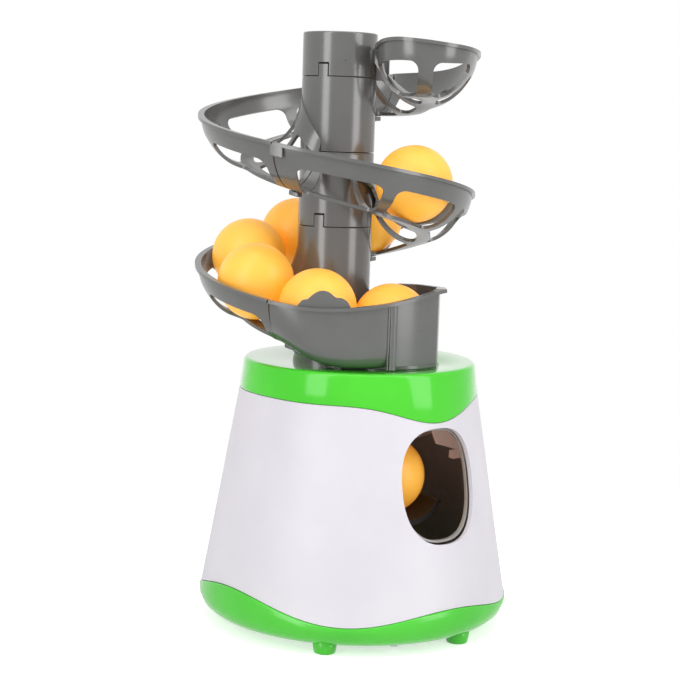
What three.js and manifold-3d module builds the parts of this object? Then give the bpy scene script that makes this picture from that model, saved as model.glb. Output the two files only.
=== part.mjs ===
// Ball launcher with a spiral feed tower. All lengths are in millimetres and all angles in degrees.
// Drawn with the base axis on the origin, the floor at z = 0 and the launch direction along -Y.
import * as THREE from 'three';
import Module from 'manifold-3d';

const wasm = await Module();
wasm.setup();
const { Manifold, Mesh } = wasm;

// General fits.
const fit = 0.3;
const cutOver = 1;
const wall = 1.8;
const halfShare = 0.5;
const quarterShare = 0.25;
const fullTurn = 360;
const halfTurn = 180;
const quarterTurn = 90;

// Balls.
const ballRadius = 20;
const ballSpacing = 40.3;
const ballRings = 8;
const ballSlices = 12;
const settleSteps = 40;

// Column of the feed tower.
const columnY = 24.7;
const columnRadius = 19.6;
const columnBore = 17.6;
const collarRadius = 17.3;
const collarBore = 15.6;
const collarRise = 5;
const collarDrop = 5;
const collarBlend = 2;
const columnSides = 18;
const startColumnHeight = 23;
const seamGap = 0.15;
const tabHalfAngle = 8;
const tabGapAngle = 1;
const tabRoot = 0.6;
const tabRise = 6.4;
const tabSteps = 2;

// Spiral track: it drops by trackFall in each full turn, and moduleTurnAngle is one plug-in section.
const trackFall = 78;
const moduleTurnAngle = 180;
const jointAngle = 26;
const jointRimZ = 212;
const rimAboveSeam = 4.8;
const topSectionIndex = -2;
const rimRadius = 74;
const lipThick = 1.7;
const troughOuter = 70.6;
const ballPath = 47.6;
const ballBelowRim = 1.5;
const ballFloorDrop = 21;
const troughDepth = 22.5;
const bandDepth = 9.5;
const spineHalf = 3.4;
const innerArcAngle = 35;
const attachRadius = 19.5;
const attachBend = 21.5;
const attachBendRise = 9.1;
const attachLow = -5.2;
const attachEnd = 1;
const attachPower = 0.8;
const attachBulge = 13.5;
const jointGapAngle = 0.3;
const windowLeadAngle = 9;
const windowAngle = 37.5;
const ribAngle = 5.5;
const windowCount = 4;
const cornerAngle = 2.6;
const windowInnerSteps = 3;
const cornerLowAngle = 15;
const cornerHighShare = 0.84;
const windowMidShare = 0.55;
const innerCornerShare = 0.42;
const innerBandShare = 0.58;

// Lugs that clip one section to the next.
const sleeveInner = 72.7;
const sleeveRoot = 72;
const sleeveOuter = 74.3;
const sleeveLow = -8.2;
const sleeveHigh = -2.3;
const sleeveBackAngle = 5;
const sleeveReachAngle = 4.2;
const sleeveStartAngle = 0.8;
const clipInner = 44.6;
const clipOuter = 50.6;
const clipDrop = 2.6;
const clipRoot = 1;
const clipBackAngle = 2.2;
const clipReachAngle = 3.6;

// Start scoop on top: a stretch of track, and a bowl that closes it round the middle of the trough.
const startTurnAngle = 87;
const startRimRise = 11.4;
const startRimShares = [[0, 0], [0.345, 0.33], [0.747, 0.87], [1, 1]];
const startExtraDepth = 4.7;
const startBandDepth = 12.2;
const startWindowShares = [[0.09, 0.33], [0.4, 0.64], [0.71, 0.95]];
const bowlTurnAngle = 165;
const bowlRise = 3.9;
const bowlRimShares = [[0, 0], [0.25, 0.44], [0.42, 0.8], [0.58, 1], [0.71, 0.75], [0.8, 0.3], [1, 0]];
const bowlNarrowShare = 0.11;
const bowlWindowShares = [[0.236, 0.515], [0.645, 0.97]];
const bowlCornerAngle = 8;
const capThick = 2.2;
const capEdge = 1;

// Feed tray under the track, with the outlet box that holds the last ball.
const trayTurnAngle = 74;
const trayAttachDrop = 1.3;
const trayRimLow = 170.3;
const trayRimLift = 9.6;
const trayRimShares = [[0, 0.281], [0.081, 0.167], [0.176, 0.052], [0.297, 0], [0.405, 0.042],
  [0.514, 0.156],
  [0.622, 0.323], [0.743, 0.51], [0.878, 0.771], [1, 1]];
const traySquareFromAngle = 206;
const traySquareToAngle = 252;
const traySquareLowPower = 2;
const traySquareHighPower = 6.5;
const levelFromAngle = 223;
const outletAngle = 272;
const outletBallZ = 160.3;
const trayFloorLow = 141.3;
const trayStepAngle = 8;
const boxSide = 34;
const boxFront = -47.1;
const boxBack = 14.4;
const boxRimLow = 167.4;
const boxRimHigh = 182;
const boxShares = [[0.221, 0, 0.815], [0.368, 0.002, 0.904], [0.912, 0.327, 1], [1, 0.652, 0.973],
  [0.794, 0.798, 0.589],
  [0.459, 1, 0]];
const lipReach = 3.2;
const floorThick = 2.3;
const dropHigh = 13;
const floorShares = [[-0.882, 0.115], [-0.588, 0.041], [-0.235, 0.002], [0.353, 0.008], [0.897, 0.333],
  [0.985, 0.652],
  [0.779, 0.792], [0.353, 0.961], [-0.353, 0.896], [-0.706, 0.798], [-0.882, 0.603]];
const outletRadius = 22.3;
const spigotOuter = 23.7;
const spigotLow = 132;
const spigotSides = 18;
const badgeStartAngle = 217;
const badgeWideAngle = 22.8;
const badgeRise = 8.5;
const badgeShares = [[0, -0.176], [0.11, 0.329], [0.219, 0.471], [0.307, 0.753], [0.417, 0.965], [0.504, 1],
  [0.614, 0.871],
  [0.702, 0.635], [0.833, 0.541], [0.921, 0.329], [1, -0.118]];
const badgeInner = 69.4;
const badgeOuter = 71.2;
const badgeFoot = -5;
const ridgeAngles = [[252.8, 254], [256.6, 257.8]];
const ridgeInner = 71.6;
const ridgeOuter = 73.5;

// Body shell: a cone with wavy laps at both ends.
const coneZ = 25;
const coneSlope = 0.172;
const shellSides = 32;
const shellWall = 2.1;
const lapStep = 2.3;
const lapHigh = 5;
const lapBlend = 3;
const lidEdgeZ = 123.5;
const lidDip = 9.2;
const lidDipAngle = 34;
const lidWaveHeight = 0.6;
const lidWaveCount = 6;
const waveMid = 20.6;
const waveFour = 4.1;
const waveTwo = 2;
const openingZ = 83;
const openingHalfWidth = 23;
const openingHalfHeight = 30;
const openingPower = 2.5;
const openingSides = 24;
const postRadius = 3.6;
const postBore = 1.6;
const postInset = 13.4;
const postTop = 34;
const postAngles = [75, 165, 250, 340];
const postSides = 6;
const postRib = 1;
const postRibReach = 12;

// Base screws.
const screwRadius = 1.5;
const screwHoleRadius = 1.8;
const screwHeadRadius = 3;
const screwHeadThick = 1.6;
const screwTop = 22;

// Lid.
const lidTop = 139;
const lidShoulder = 0.6;
const lidFillet = 2.6;
const lidRoundShare = 0.3;
const lidCoreLap = 2;
const lidWall = 2.5;
const lidProud = 0.2;
const lidHoleRadius = 24.1;
const lidSkirtWall = 1.9;

// Base pan with its feet.
const panProud = 2.3;
const panLow = 5;
const panFloorThick = 2;
const panEdgeInset = 9.2;
const panCurveHigh = 8.4;
const panCurveShares = [[0.37, 0.167], [0.75, 0.524], [0.946, 1]];
const panWall = 2.1;
const panLipStep = 0.6;
const panLipProud = 0.4;
const panShoulder = 15;
const panWaist = 17;
const panLipRound = 1;
const panFloorLap = 4;
const footRadius = 6.8;
const footTip = 5.6;
const footInset = 12.2;
const footAngles = [131, 220.5, 288, 17];
const footSides = 10;
const footRoot = 8.6;

// Battery bay and its door, in the underside of the pan.
const bayX = 31;
const bayClearFront = 1.7;
const bayClearBack = 1.8;
const bayWall = 1.6;
const bayTop = 21.5;
const doorLedge = 2.4;
const cellRadius = 7.1;
const cellSpacing = 15.1;
const cellLength = 48;
const cellNub = 2.6;
const cellNubLength = 1.4;
const cellZ = 14.6;
const cellFirstY = -41.2;
const cellCount = 4;
const bayFront = cellFirstY - cellRadius - bayClearFront;
const bayBack = cellFirstY + (cellCount - 1) * cellSpacing + cellRadius + bayClearBack;
const cellSides = 8;
const contactThick = 0.8;
const contactBump = 1.1;
const contactInset = 1;

// Launcher: the hammer slides along Y behind the ball.
const launchY = -25;
const outletAhead = 2;
const outletY = launchY + outletAhead;
const launchZ = 81;
const padRadius = 5.8;
const padThick = 3.4;
const headRadius = 6.2;
const headThick = 5;
const barHalf = 5;
const barLow = 77;
const barHigh = 85;
const barEnd = 40;
const railStemHalf = 1.5;
const railFlangeHalf = 5;
const railLow = 89;
const railHigh = 91;
const railFront = 12;
const lugReach = 10.6;
const lugLow = 78.5;
const lugHigh = 83.5;
const lugThick = 3;

// Gear train.
const rackModule = 2;
const rackHalf = 3.4;
const rackTeeth = 3;
const rackAddendum = 1.6;
const driveY = 36;
const driveZ = 59;
const sectorTeeth = 16;
const sectorKept = 4;
const sectorHalf = 4;
const gearModule = 1;
const driveTeeth = 40;
const driveLeft = 6.9;
const driveRight = 10.9;
const reductionY = 17;
const reductionZ = 42.72;
const pinionTeeth = 10;
const reductionTeeth = 32;
const reductionLeft = 12.4;
const reductionRight = 15.2;
const motorY = 33;
const motorZ = 30.72;
const motorTeeth = 8;
const motorPinionLeft = 12;
const motorPinionRight = 16;
const pressureAngle = 20;
const backlash = 0.16;
const addendumShare = 0.9;
const dedendumShare = 1.2;
const axleRadius = 2;
const thinAxleRadius = 1.5;
const runningGap = 0.08;
const axleSides = 12;
const hubRadius = 4.2;
const thinHubRadius = 2.5;
const axleProud = 1;
const shaftReach = 2;

// Gearbox.
const plateLeft = [-13, -11];
const plateRight = [17, 19];
const plateFront = 6;
const plateDeep = 55;
const plateFoot = 7.4;
const plateTall = 87.6;
const plateShares = [[0.2, 0], [0.945, 0], [1, 0.6], [0.927, 1], [0, 1], [0, 0.623], [0.036, 0.235],
  [0.2, 0.19]];
const motorRadius = 12;
const motorLength = 27;
const motorHole = 5.6;
const motorSides = 16;
const motorFlat = 9.5;
const guideFront = 28;
const guideClear = 5.3;
const guideLow = 86;
const guideHigh = 94.6;

// Chute, cradle, liner and gate.
const chuteLow = 104;
const chuteTopClear = 0.5;
const chuteHigh = lidTop - lidWall - chuteTopClear;
const chuteOuter = 24;
const chuteFlange = 28;
const chuteFlangeThick = 2;
const chuteClear = 7.308;
const cradleFront = -47;
const cradleBack = -1;
const cradleHalfAngle = 58;
const cradleThick = 2.4;
const cradleSteps = 8;
const cradleFootHalf = 6;
const linerDepth = 9;
const gateSlotHalf = 5.4;
const gateSlotDeep = 4;
const gateHalf = 4;
const gateFront = -25;
const gateBack = 24;
const gateLow = 133;
const gateHigh = 135.6;
const gatePadTop = 139;
const gatePadLength = 3;
const mastFront = 14;
const mastHalf = 1.5;
const mastSlotBack = 46.6;
const bracketHalf = 8;
const bracketFront = 7.5;
const bracketBack = 13;
const bracketLow = 129;
const bracketTop = 136.2;
const chuteSlotLow = 130;
const cradleStandFront = -34;
const cradleStandBack = -10;

// Hammer spring.
const springX = -8.75;
const springFront = 12;
const springBack = 36.4;
const springRadius = 1.6;
const springWire = 0.35;
const springWireSides = 3;
const springWirePhase = 45;
const springTurns = 5;
const springStepsPerTurn = 5;
const springPostHalf = 2;
const springPostThick = 2;

// Switch on the back.
const switchBack = 1.2;
const switchZ = 44;
const switchWidth = 12;
const knobOffset = -2.5;
const switchHeight = 4;
const knobHalf = 3;
const knobHigh = 1.8;
const knobProud = 3;
const switchBodyX = 11;
const switchBodyZ = 6;
const switchBodyDepth = 7;

const rad = (deg) => THREE.MathUtils.degToRad(deg);
const polar = (radius, deg, cx, cy) => [cx + radius * Math.cos(rad(deg)), cy + radius * Math.sin(rad(deg))];
const onColumn = (radius, deg) => polar(radius, deg, 0, columnY);
const mix = (a, b, share) => a + (b - a) * share;

// Tools that make solids.
const keyScale = 10000;
const meshSlack = 0.25;
const fineSlack = 0.01;

/** Joins equal points and returns a manifold, turned so that its volume is positive. */
function solid(corners, faces) {
  const seen = new Map();
  const places = [];
  const index = corners.map((p) => {
    const key = p.map((c) => Math.round(c * keyScale)).join();
    if (!seen.has(key)) {
      seen.set(key, places.length);
      places.push(p);
    }
    return seen.get(key);
  });
  const tris = faces.map((f) => f.map((i) => index[i])).filter(([a, b,
    c]) => a !== b && b !== c && c !== a);
  let volume = 0;
  for (const [a, b, c] of tris) {
    const [p, q, r] = [places[a], places[b], places[c]];
    volume += p[0] * (q[1] * r[2] - q[2] * r[1]);
    volume += p[1] * (q[2] * r[0] - q[0] * r[2]);
    volume += p[2] * (q[0] * r[1] - q[1] * r[0]);
  }
  const turned = volume < 0 ? tris.map(([a, b, c]) => [a, c, b]) : tris;
  const vertProperties = new Float32Array(places.flat());
  return new Manifold(new Mesh({ numProp: 3, vertProperties, triVerts: new Uint32Array(turned.flat()) }));
}

/** A three.js geometry as a manifold. */
function fromGeometry(geometry) {
  const at = geometry.attributes.position;
  const order = geometry.index ? [...geometry.index.array] : [...Array(at.count).keys()];
  const corners = order.map((i) => [at.getX(i), at.getY(i), at.getZ(i)]);
  return solid(corners, [...Array(corners.length / 3).keys()].map((i) => [3 * i, 3 * i + 1, 3 * i + 2]));
}

/** A manifold as a three.js geometry. */
function toGeometry(body) {
  const mesh = body.getMesh();
  const geometry = new THREE.BufferGeometry();
  const places = [];
  for (const i of mesh.triVerts) {
    for (let k = 0; k < 3; k += 1) places.push(mesh.vertProperties[i * mesh.numProp + k]);
  }
  geometry.setAttribute('position', new THREE.Float32BufferAttribute(places, 3));
  geometry.computeVertexNormals();
  return geometry;
}

const join = (...bodies) => bodies.reduce((a, b) => Manifold.union(a, b));
const cut = (body, ...tools) => tools.reduce((a, b) => Manifold.difference(a, b), body);

/** Closed skin from a flat net: each net point has a place on the near face and one on the far face. */
function skin(near, far, net) {
  const count = near.length;
  const faces = [];
  const edges = new Set(net.flatMap(([a, b, c]) => [`${a},${b}`, `${b},${c}`, `${c},${a}`]));
  for (const [a, b, c] of net) {
    faces.push([a, b, c], [c + count, b + count, a + count]);
    for (const [p, q] of [[a, b], [b, c], [c, a]]) {
      if (!edges.has(`${q},${p}`)) faces.push([q, p, p + count], [q, p + count, q + count]);
    }
  }
  return solid([...near, ...far], faces);
}

/**
 * Net of a grid of rows and columns. kind(row, column) is 'full', 'none', or the corner that
 * stays: a, b, c or d.
 */
function grid(rows, columns, kind) {
  const net = [];
  for (let i = 0; i < rows - 1; i += 1) {
    for (let j = 0; j < columns - 1; j += 1) {
      const [a, b] = [i * columns + j, (i + 1) * columns + j];
      const [c, d] = [b + 1, a + 1];
      const parts = { full: [[a, b, c], [a, c, d]], none: [], a: [[d, a, b]], b: [[a, b, c]],
        c: [[b, c, d]], d: [[c, d, a]] };
      net.push(...parts[kind(i, j)]);
    }
  }
  return net;
}

/** Ring of loops, one for each station round the axis, joined end to end. */
function ring(loops) {
  const [n, m] = [loops.length, loops[0].length];
  const faces = [];
  for (let i = 0; i < n; i += 1) {
    for (let j = 0; j < m; j += 1) {
      const [a, b] = [i * m + j, ((i + 1) % n) * m + j];
      const [c, d] = [((i + 1) % n) * m + (j + 1) % m, i * m + (j + 1) % m];
      faces.push([a, b, c], [a, c, d]);
    }
  }
  return solid(loops.flat(), faces);
}

/** Tube of convex loops with flat ends. */
function tube(loops) {
  const [n, m] = [loops.length, loops[0].length];
  const faces = [];
  for (let i = 0; i < n - 1; i += 1) {
    for (let j = 0; j < m; j += 1) {
      const [a, b] = [i * m + j, (i + 1) * m + j];
      const [c, d] = [(i + 1) * m + (j + 1) % m, i * m + (j + 1) % m];
      faces.push([a, b, c], [a, c, d]);
    }
  }
  for (let j = 1; j < m - 1; j += 1) faces.push([0, j, j + 1],
    [(n - 1) * m, (n - 1) * m + j + 1, (n - 1) * m + j]);
  return solid(loops.flat(), faces);
}

const angles = (sides, phase = 0) => [...Array(sides).keys()].map((i) => phase + (fullTurn * i) / sides);

/** Lathe solid about the upright axis through (cx, cy) from a closed profile of [radius, z]. */
function turned(profile, sides, cx, cy) {
  return ring(angles(sides).map((deg) => profile.map(([r, z]) => [...polar(r, deg, cx, cy), z])));
}

/** Block that follows the column between two angles and two radii. low and high give z from the angle. */
function arcBlock(from, to, inner, outer, low, high, steps) {
  const loops = [];
  for (let i = 0; i <= steps; i += 1) {
    const deg = mix(from, to, i / steps);
    const [x0, y0] = onColumn(inner, deg);
    const [x1, y1] = onColumn(outer, deg);
    loops.push([[x0, y0, low(deg)], [x1, y1, low(deg)], [x1, y1, high(deg)], [x0, y0, high(deg)]]);
  }
  return tube(loops);
}

const bases = {
  x: new THREE.Matrix4().makeBasis(new THREE.Vector3(0, 1, 0), new THREE.Vector3(0, 0, 1),
    new THREE.Vector3(1, 0, 0)),
  y: new THREE.Matrix4().makeBasis(new THREE.Vector3(0, 0, 1), new THREE.Vector3(1, 0, 0),
    new THREE.Vector3(0, 1, 0)),
  z: new THREE.Matrix4(),
};

/**
 * Flat outline, with holes, drawn out along an axis. Points are (y, z) for x, (z, x) for y and
 * (x, y) for z.
 */
function slab(axis, points, from, to, holes = []) {
  const shape = new THREE.Shape(points.map(([a, b]) => new THREE.Vector2(a, b)));
  for (const hole of holes) shape.holes.push(new THREE.Path(hole.map(([a, b]) => new THREE.Vector2(a, b))));
  const geometry = new THREE.ExtrudeGeometry(shape, { depth: to - from, bevelEnabled: false });
  geometry.translate(0, 0, from);
  geometry.applyMatrix4(bases[axis]);
  return fromGeometry(geometry);
}

const disc = (a, b, radius, sides) => angles(sides, halfTurn / sides).map((deg) => polar(radius, deg, a,
  b));
const rect = (a0, b0, a1, b1) => [[a0, b0], [a1, b0], [a1, b1], [a0, b1]];
const block = (x0, x1, y0, y1, z0, z1) => slab('z', rect(x0, y0, x1, y1), z0, z1);

// Finishes by name.
const finishes = {
  white: { color: 0xf0eef2, roughness: 0.28, metalness: 0 },
  green: { color: 0x5ddc3c, roughness: 0.2, metalness: 0 },
  grey: { color: 0x6f706f, roughness: 0.3, metalness: 0 },
  ball: { color: 0xffab2b, roughness: 0.55, metalness: 0 },
  dark: { color: 0x2c2b2b, roughness: 0.45, metalness: 0 },
  gear: { color: 0xe8e6dc, roughness: 0.45, metalness: 0 },
  steel: { color: 0xb8babd, roughness: 0.3, metalness: 1 },
  rubber: { color: 0x262626, roughness: 0.85, metalness: 0 },
  cell: { color: 0x2f5f9e, roughness: 0.35, metalness: 0.3 },
  red: { color: 0xb8281e, roughness: 0.5, metalness: 0 },
  black: { color: 0x1c1c1c, roughness: 0.5, metalness: 0 },
};
const group = new THREE.Group();
group.name = 'table_tennis_robot';

/** Adds a named piece to the model. slack is how far the simpler mesh may stray. */
function add(name, body, finish, slack = fineSlack) {
  const plain = body.asOriginal().simplify(slack);
  const mesh = new THREE.Mesh(toGeometry(plain), new THREE.MeshStandardMaterial(finishes[finish]));
  mesh.name = name;
  group.add(mesh);
}

// Heights along the track.
const rimZ = (deg) => jointRimZ - (trackFall * (deg - jointAngle)) / fullTurn;
const moduleEnd = jointAngle + moduleTurnAngle;
const seamZ = (k) => jointRimZ - rimAboveSeam - k * trackFall * halfShare;
const columnTop = seamZ(topSectionIndex) + startColumnHeight;

/** Height of a ball's centre on the track, with its gentler run to the outlet. */
function ballZ(deg) {
  if (deg <= levelFromAngle) return rimZ(deg) - ballBelowRim;
  return mix(rimZ(levelFromAngle) - ballBelowRim, outletBallZ,
    (deg - levelFromAngle) / (outletAngle - levelFromAngle));
}

/** Point and outward direction of the trough's inside, in rows from the lip to the column. */
function troughProfile(depth, power, attach, band) {
  const bandAt = Math.acos(band / depth);
  const spineAt = Math.asin(spineHalf / (troughOuter - ballPath));
  const outerRows = [bandAt, bandAt * cornerHighShare, bandAt * windowMidShare, rad(cornerLowAngle),
    spineAt];
  const arc = (t, squared) => {
    const reach = troughOuter - ballPath;
    const [s, c] = [Math.sin(t), Math.cos(t)];
    const share = 2 / squared;
    return {
      at: [ballPath + Math.sign(s) * reach * Math.abs(s) ** share, -depth * c ** share],
      out: [s, -c],
    };
  };
  const rows = outerRows.map((t) => arc(t, power));
  rows.push(arc(-spineAt, 2), arc(-rad(cornerLowAngle), 2), arc(-rad(innerArcAngle), 2));
  const start = rows.at(-1).at;
  const bend = [attachBend, start[1] + attachBendRise];
  const end = [attachRadius, attach];
  for (const s of [innerCornerShare, innerBandShare, 1]) {
    const at = [0, 1].map((k) => (1 - s) ** 2 * start[k] + 2 * s * (1 - s) * bend[k] + s ** 2 * end[k]);
    const along = [0, 1].map((k) => 2 * (1 - s) * (bend[k] - start[k]) + 2 * s * (end[k] - bend[k]));
    const size = Math.hypot(...along);
    rows.push({ at, out: [-along[1] / size, along[0] / size] });
  }
  return rows;
}

/** Places on the near and the far face of a trough at one angle, in rows from the lip to the column. */
function trackColumn(deg, rim, depth, power, attach, band, place = onColumn) {
  const rows = troughProfile(depth, power, attach, band);
  const near = [[rimRadius, 0], [troughOuter, 0], ...rows.map((p) => p.at)];
  const far = [[rimRadius, -lipThick], [troughOuter + wall, -lipThick],
    ...rows.map((p) => [p.at[0] + wall * p.out[0], p.at[1] + wall * p.out[1]])];
  return [near, far].map((face) => face.map(([r, z]) => [...place(r, deg), rim + z]));
}

/** Closed skin from such columns. */
function columnSkin(columns, kind) {
  const rows = columns[0][0].length;
  const spread = (side) => [...Array(rows).keys()].flatMap((i) => columns.map((c) => c[side][i]));
  return skin(spread(0), spread(1), grid(rows, columns.length, kind));
}

/** Track skin through the given angles. rim, depth, power and attach are functions of the angle. */
function trackSkin(stops, rim, depth, power, attach, kind) {
  return columnSkin(stops.map((deg) => trackColumn(deg, rim(deg), depth(deg), power(deg), attach(deg),
    bandDepth)), kind);
}

const cornerRows = { 2: ['a', 'd'], 5: ['b', 'c'], 7: ['a', 'd'], 10: ['b', 'c'] };
const openRows = [3, 4, 8, 9];
const innerRow = 7;

/** Angles and cell kinds for a stretch of track with windows, given as [from, to] past the start angle. */
function windowed(start, length, windows, corner = cornerAngle) {
  const stops = [start];
  const marks = [];
  const go = (deg, mark) => {
    stops.push(start + deg);
    marks.push(mark);
  };
  for (const [from, to] of windows) {
    go(from, 'rib');
    go(from + corner, 'first');
    const [a, b] = [from + corner, to - corner];
    for (let i = 1; i <= windowInnerSteps; i += 1) go(mix(a, b, i / windowInnerSteps), 'open');
    go(to, 'last');
  }
  go(length, 'rib');
  const kind = (row, column) => {
    const mark = marks[column];
    if (mark === 'rib' || row < 2 || row === 6 || row > 10) return 'full';
    if (openRows.includes(row)) return 'none';
    if (mark === 'open') return 'none';
    return cornerRows[row][mark === 'first' ? 0 : 1];
  };
  return { stops, kind };
}

/** Column tube with its plug collar on top. closed puts a cap on instead. */
function columnTube(low, high, closed) {
  const profile = closed
    ? [[columnBore, low], [columnRadius, low], [columnRadius, high - capEdge],
      [columnRadius - capEdge, high],
      [columnBore - capEdge, high], [columnBore - capEdge, high - capThick], [columnBore, high - capThick]]
    : [[columnBore, low], [columnRadius, low], [columnRadius, high], [collarRadius, high],
      [collarRadius, high + collarRise], [collarBore, high + collarRise], [collarBore, high - collarDrop],
      [columnBore, high - collarDrop - collarBlend]];
  const body = turned(profile, columnSides, 0, columnY);
  if (!closed) return body;
  return join(body, slab('z', disc(0, columnY, columnBore, columnSides), high - capThick, high));
}

const columnTab = (deg, z) => arcBlock(deg - tabHalfAngle, deg + tabHalfAngle, columnBore, columnRadius,
  () => z - tabRoot,
  () => z + tabRise, tabSteps);
const columnNotch = (deg, z) => arcBlock(deg - tabHalfAngle - tabGapAngle, deg + tabHalfAngle + tabGapAngle,
  columnBore - cutOver,
  columnRadius + cutOver, () => z - cutOver, () => z + tabRise + fit, tabSteps);

/** Lugs under and outside the end of a section, which reach over the start of the next one. */
function endLugs(end, rim, depth) {
  const sleeveFoot = (deg) => rim(deg) + sleeveLow;
  const sleeveTop = (deg) => rim(deg) + sleeveHigh;
  const slopeUnder = (drop) => (deg) => rim(deg) - depth - wall - drop;
  return join(
    arcBlock(end - sleeveBackAngle, end - jointGapAngle, sleeveRoot, sleeveOuter, sleeveFoot, sleeveTop, 1),
    arcBlock(end - sleeveStartAngle, end + sleeveReachAngle, sleeveInner, sleeveOuter, sleeveFoot,
      sleeveTop, 1),
    arcBlock(end - clipBackAngle, end - jointGapAngle, clipInner, clipOuter, slopeUnder(clipDrop),
      slopeUnder(-clipRoot), 1),
    arcBlock(end - sleeveStartAngle, end + clipReachAngle, clipInner, clipOuter, slopeUnder(clipDrop),
      slopeUnder(fit), 1),
  );
}

// Tower sections, from the top down.
const moduleWindows = [...Array(windowCount).keys()].map((i) => {
  const from = windowLeadAngle + i * (windowAngle + ribAngle);
  return [from, from + windowAngle];
});
const attachOf = (start, top) => (deg) => {
  const share = THREE.MathUtils.clamp((deg - start) / moduleTurnAngle, 0, 1);
  const rise = mix(attachLow, attachEnd, share) + attachBulge * Math.sin(Math.PI * share) ** attachPower;
  return Math.min(rise, top - seamGap - fit - rimZ(deg));
};
const fixedDepth = () => troughDepth;
const fixedPower = () => 2;

function towerModule(k) {
  const start = jointAngle + k * moduleTurnAngle;
  const [top, bottom] = [seamZ(k), seamZ(k + 1)];
  const plan = windowed(start + jointGapAngle, moduleTurnAngle - 2 * jointGapAngle, moduleWindows);
  const track = trackSkin(plan.stops, rimZ, fixedDepth, fixedPower, attachOf(start, top), plan.kind);
  const column = cut(columnTube(bottom + seamGap, top - seamGap, false), columnNotch(start, bottom));
  return join(column, columnTab(start + halfTurn, top), track,
    endLugs(start + moduleTurnAngle, rimZ, troughDepth));
}

/** Value of a table of pairs at a place along it. */
function table(rows, share) {
  const i = Math.max(1, rows.findIndex(([a]) => a >= share));
  const [[a, u], [b, v]] = [rows[i - 1], rows[i]];
  return mix(u, v, THREE.MathUtils.clamp((share - a) / (b - a), 0, 1));
}

/** Columns of the bowl that closes a track: the outer rows swing back round the middle of the trough. */
function bowlColumns(turns, start, rim, depth, attach) {
  const [cx, cy] = onColumn(ballPath, start);
  return turns.map((turn) => {
    const share = turn / bowlTurnAngle;
    const swing = (r) => polar((r - ballPath) * (1 - bowlNarrowShare * share), start - turn, cx, cy);
    const top = rim + bowlRise * table(bowlRimShares, share);
    return trackColumn(start, top, depth, 2, attach, startBandDepth, swing);
  });
}

function towerStart() {
  const end = jointAngle - fullTurn;
  const start = end - startTurnAngle;
  const past = (deg) => THREE.MathUtils.clamp((end - deg) / startTurnAngle, 0, 1);
  const rim = (deg) => (deg < end ? rimZ(end) + startRimRise * table(startRimShares, past(deg)) : rimZ(deg));
  const depth = (deg) => troughDepth + startExtraDepth * Math.sin(rad(quarterTurn) * past(deg));
  const bottom = seamZ(topSectionIndex);
  const attach = (deg) => bottom + mix(rimAboveSeam + attachEnd, attachBulge,
    Math.min(1, (end - deg) / quarterTurn)) - rim(deg);
  const plan = windowed(start, startTurnAngle - jointGapAngle,
    startWindowShares.map((pair) => pair.map((share) => share * startTurnAngle)));
  const bowlPlan = windowed(0, bowlTurnAngle,
    bowlWindowShares.map((pair) => pair.map((share) => share * bowlTurnAngle)), bowlCornerAngle);
  const turns = bowlPlan.stops.slice(0, -1).map((angle) => bowlTurnAngle - angle);
  const kind = (row, column) => {
    if (column >= turns.length) return plan.kind(row, column - turns.length);
    return row < innerRow ? bowlPlan.kind(row, column) : 'none';
  };
  const along = plan.stops.map((deg) => trackColumn(deg, rim(deg), depth(deg), 2, attach(deg), startBandDepth));
  const bowl = bowlColumns(turns, start, rim(start), depth(start), attach(start));
  // The folded rows of the bowl meet the track's own inner row in one point.
  for (const column of bowl) {
    for (const side of [0, 1]) {
      for (let row = innerRow; row < column[side].length; row += 1) column[side][row] = along[0][side][innerRow];
    }
  }
  const column = cut(columnTube(bottom + seamGap, columnTop, true), columnNotch(end + halfTurn, bottom));
  return join(column, columnSkin([...bowl, ...along], kind), endLugs(end, rim, troughDepth));
}

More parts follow.
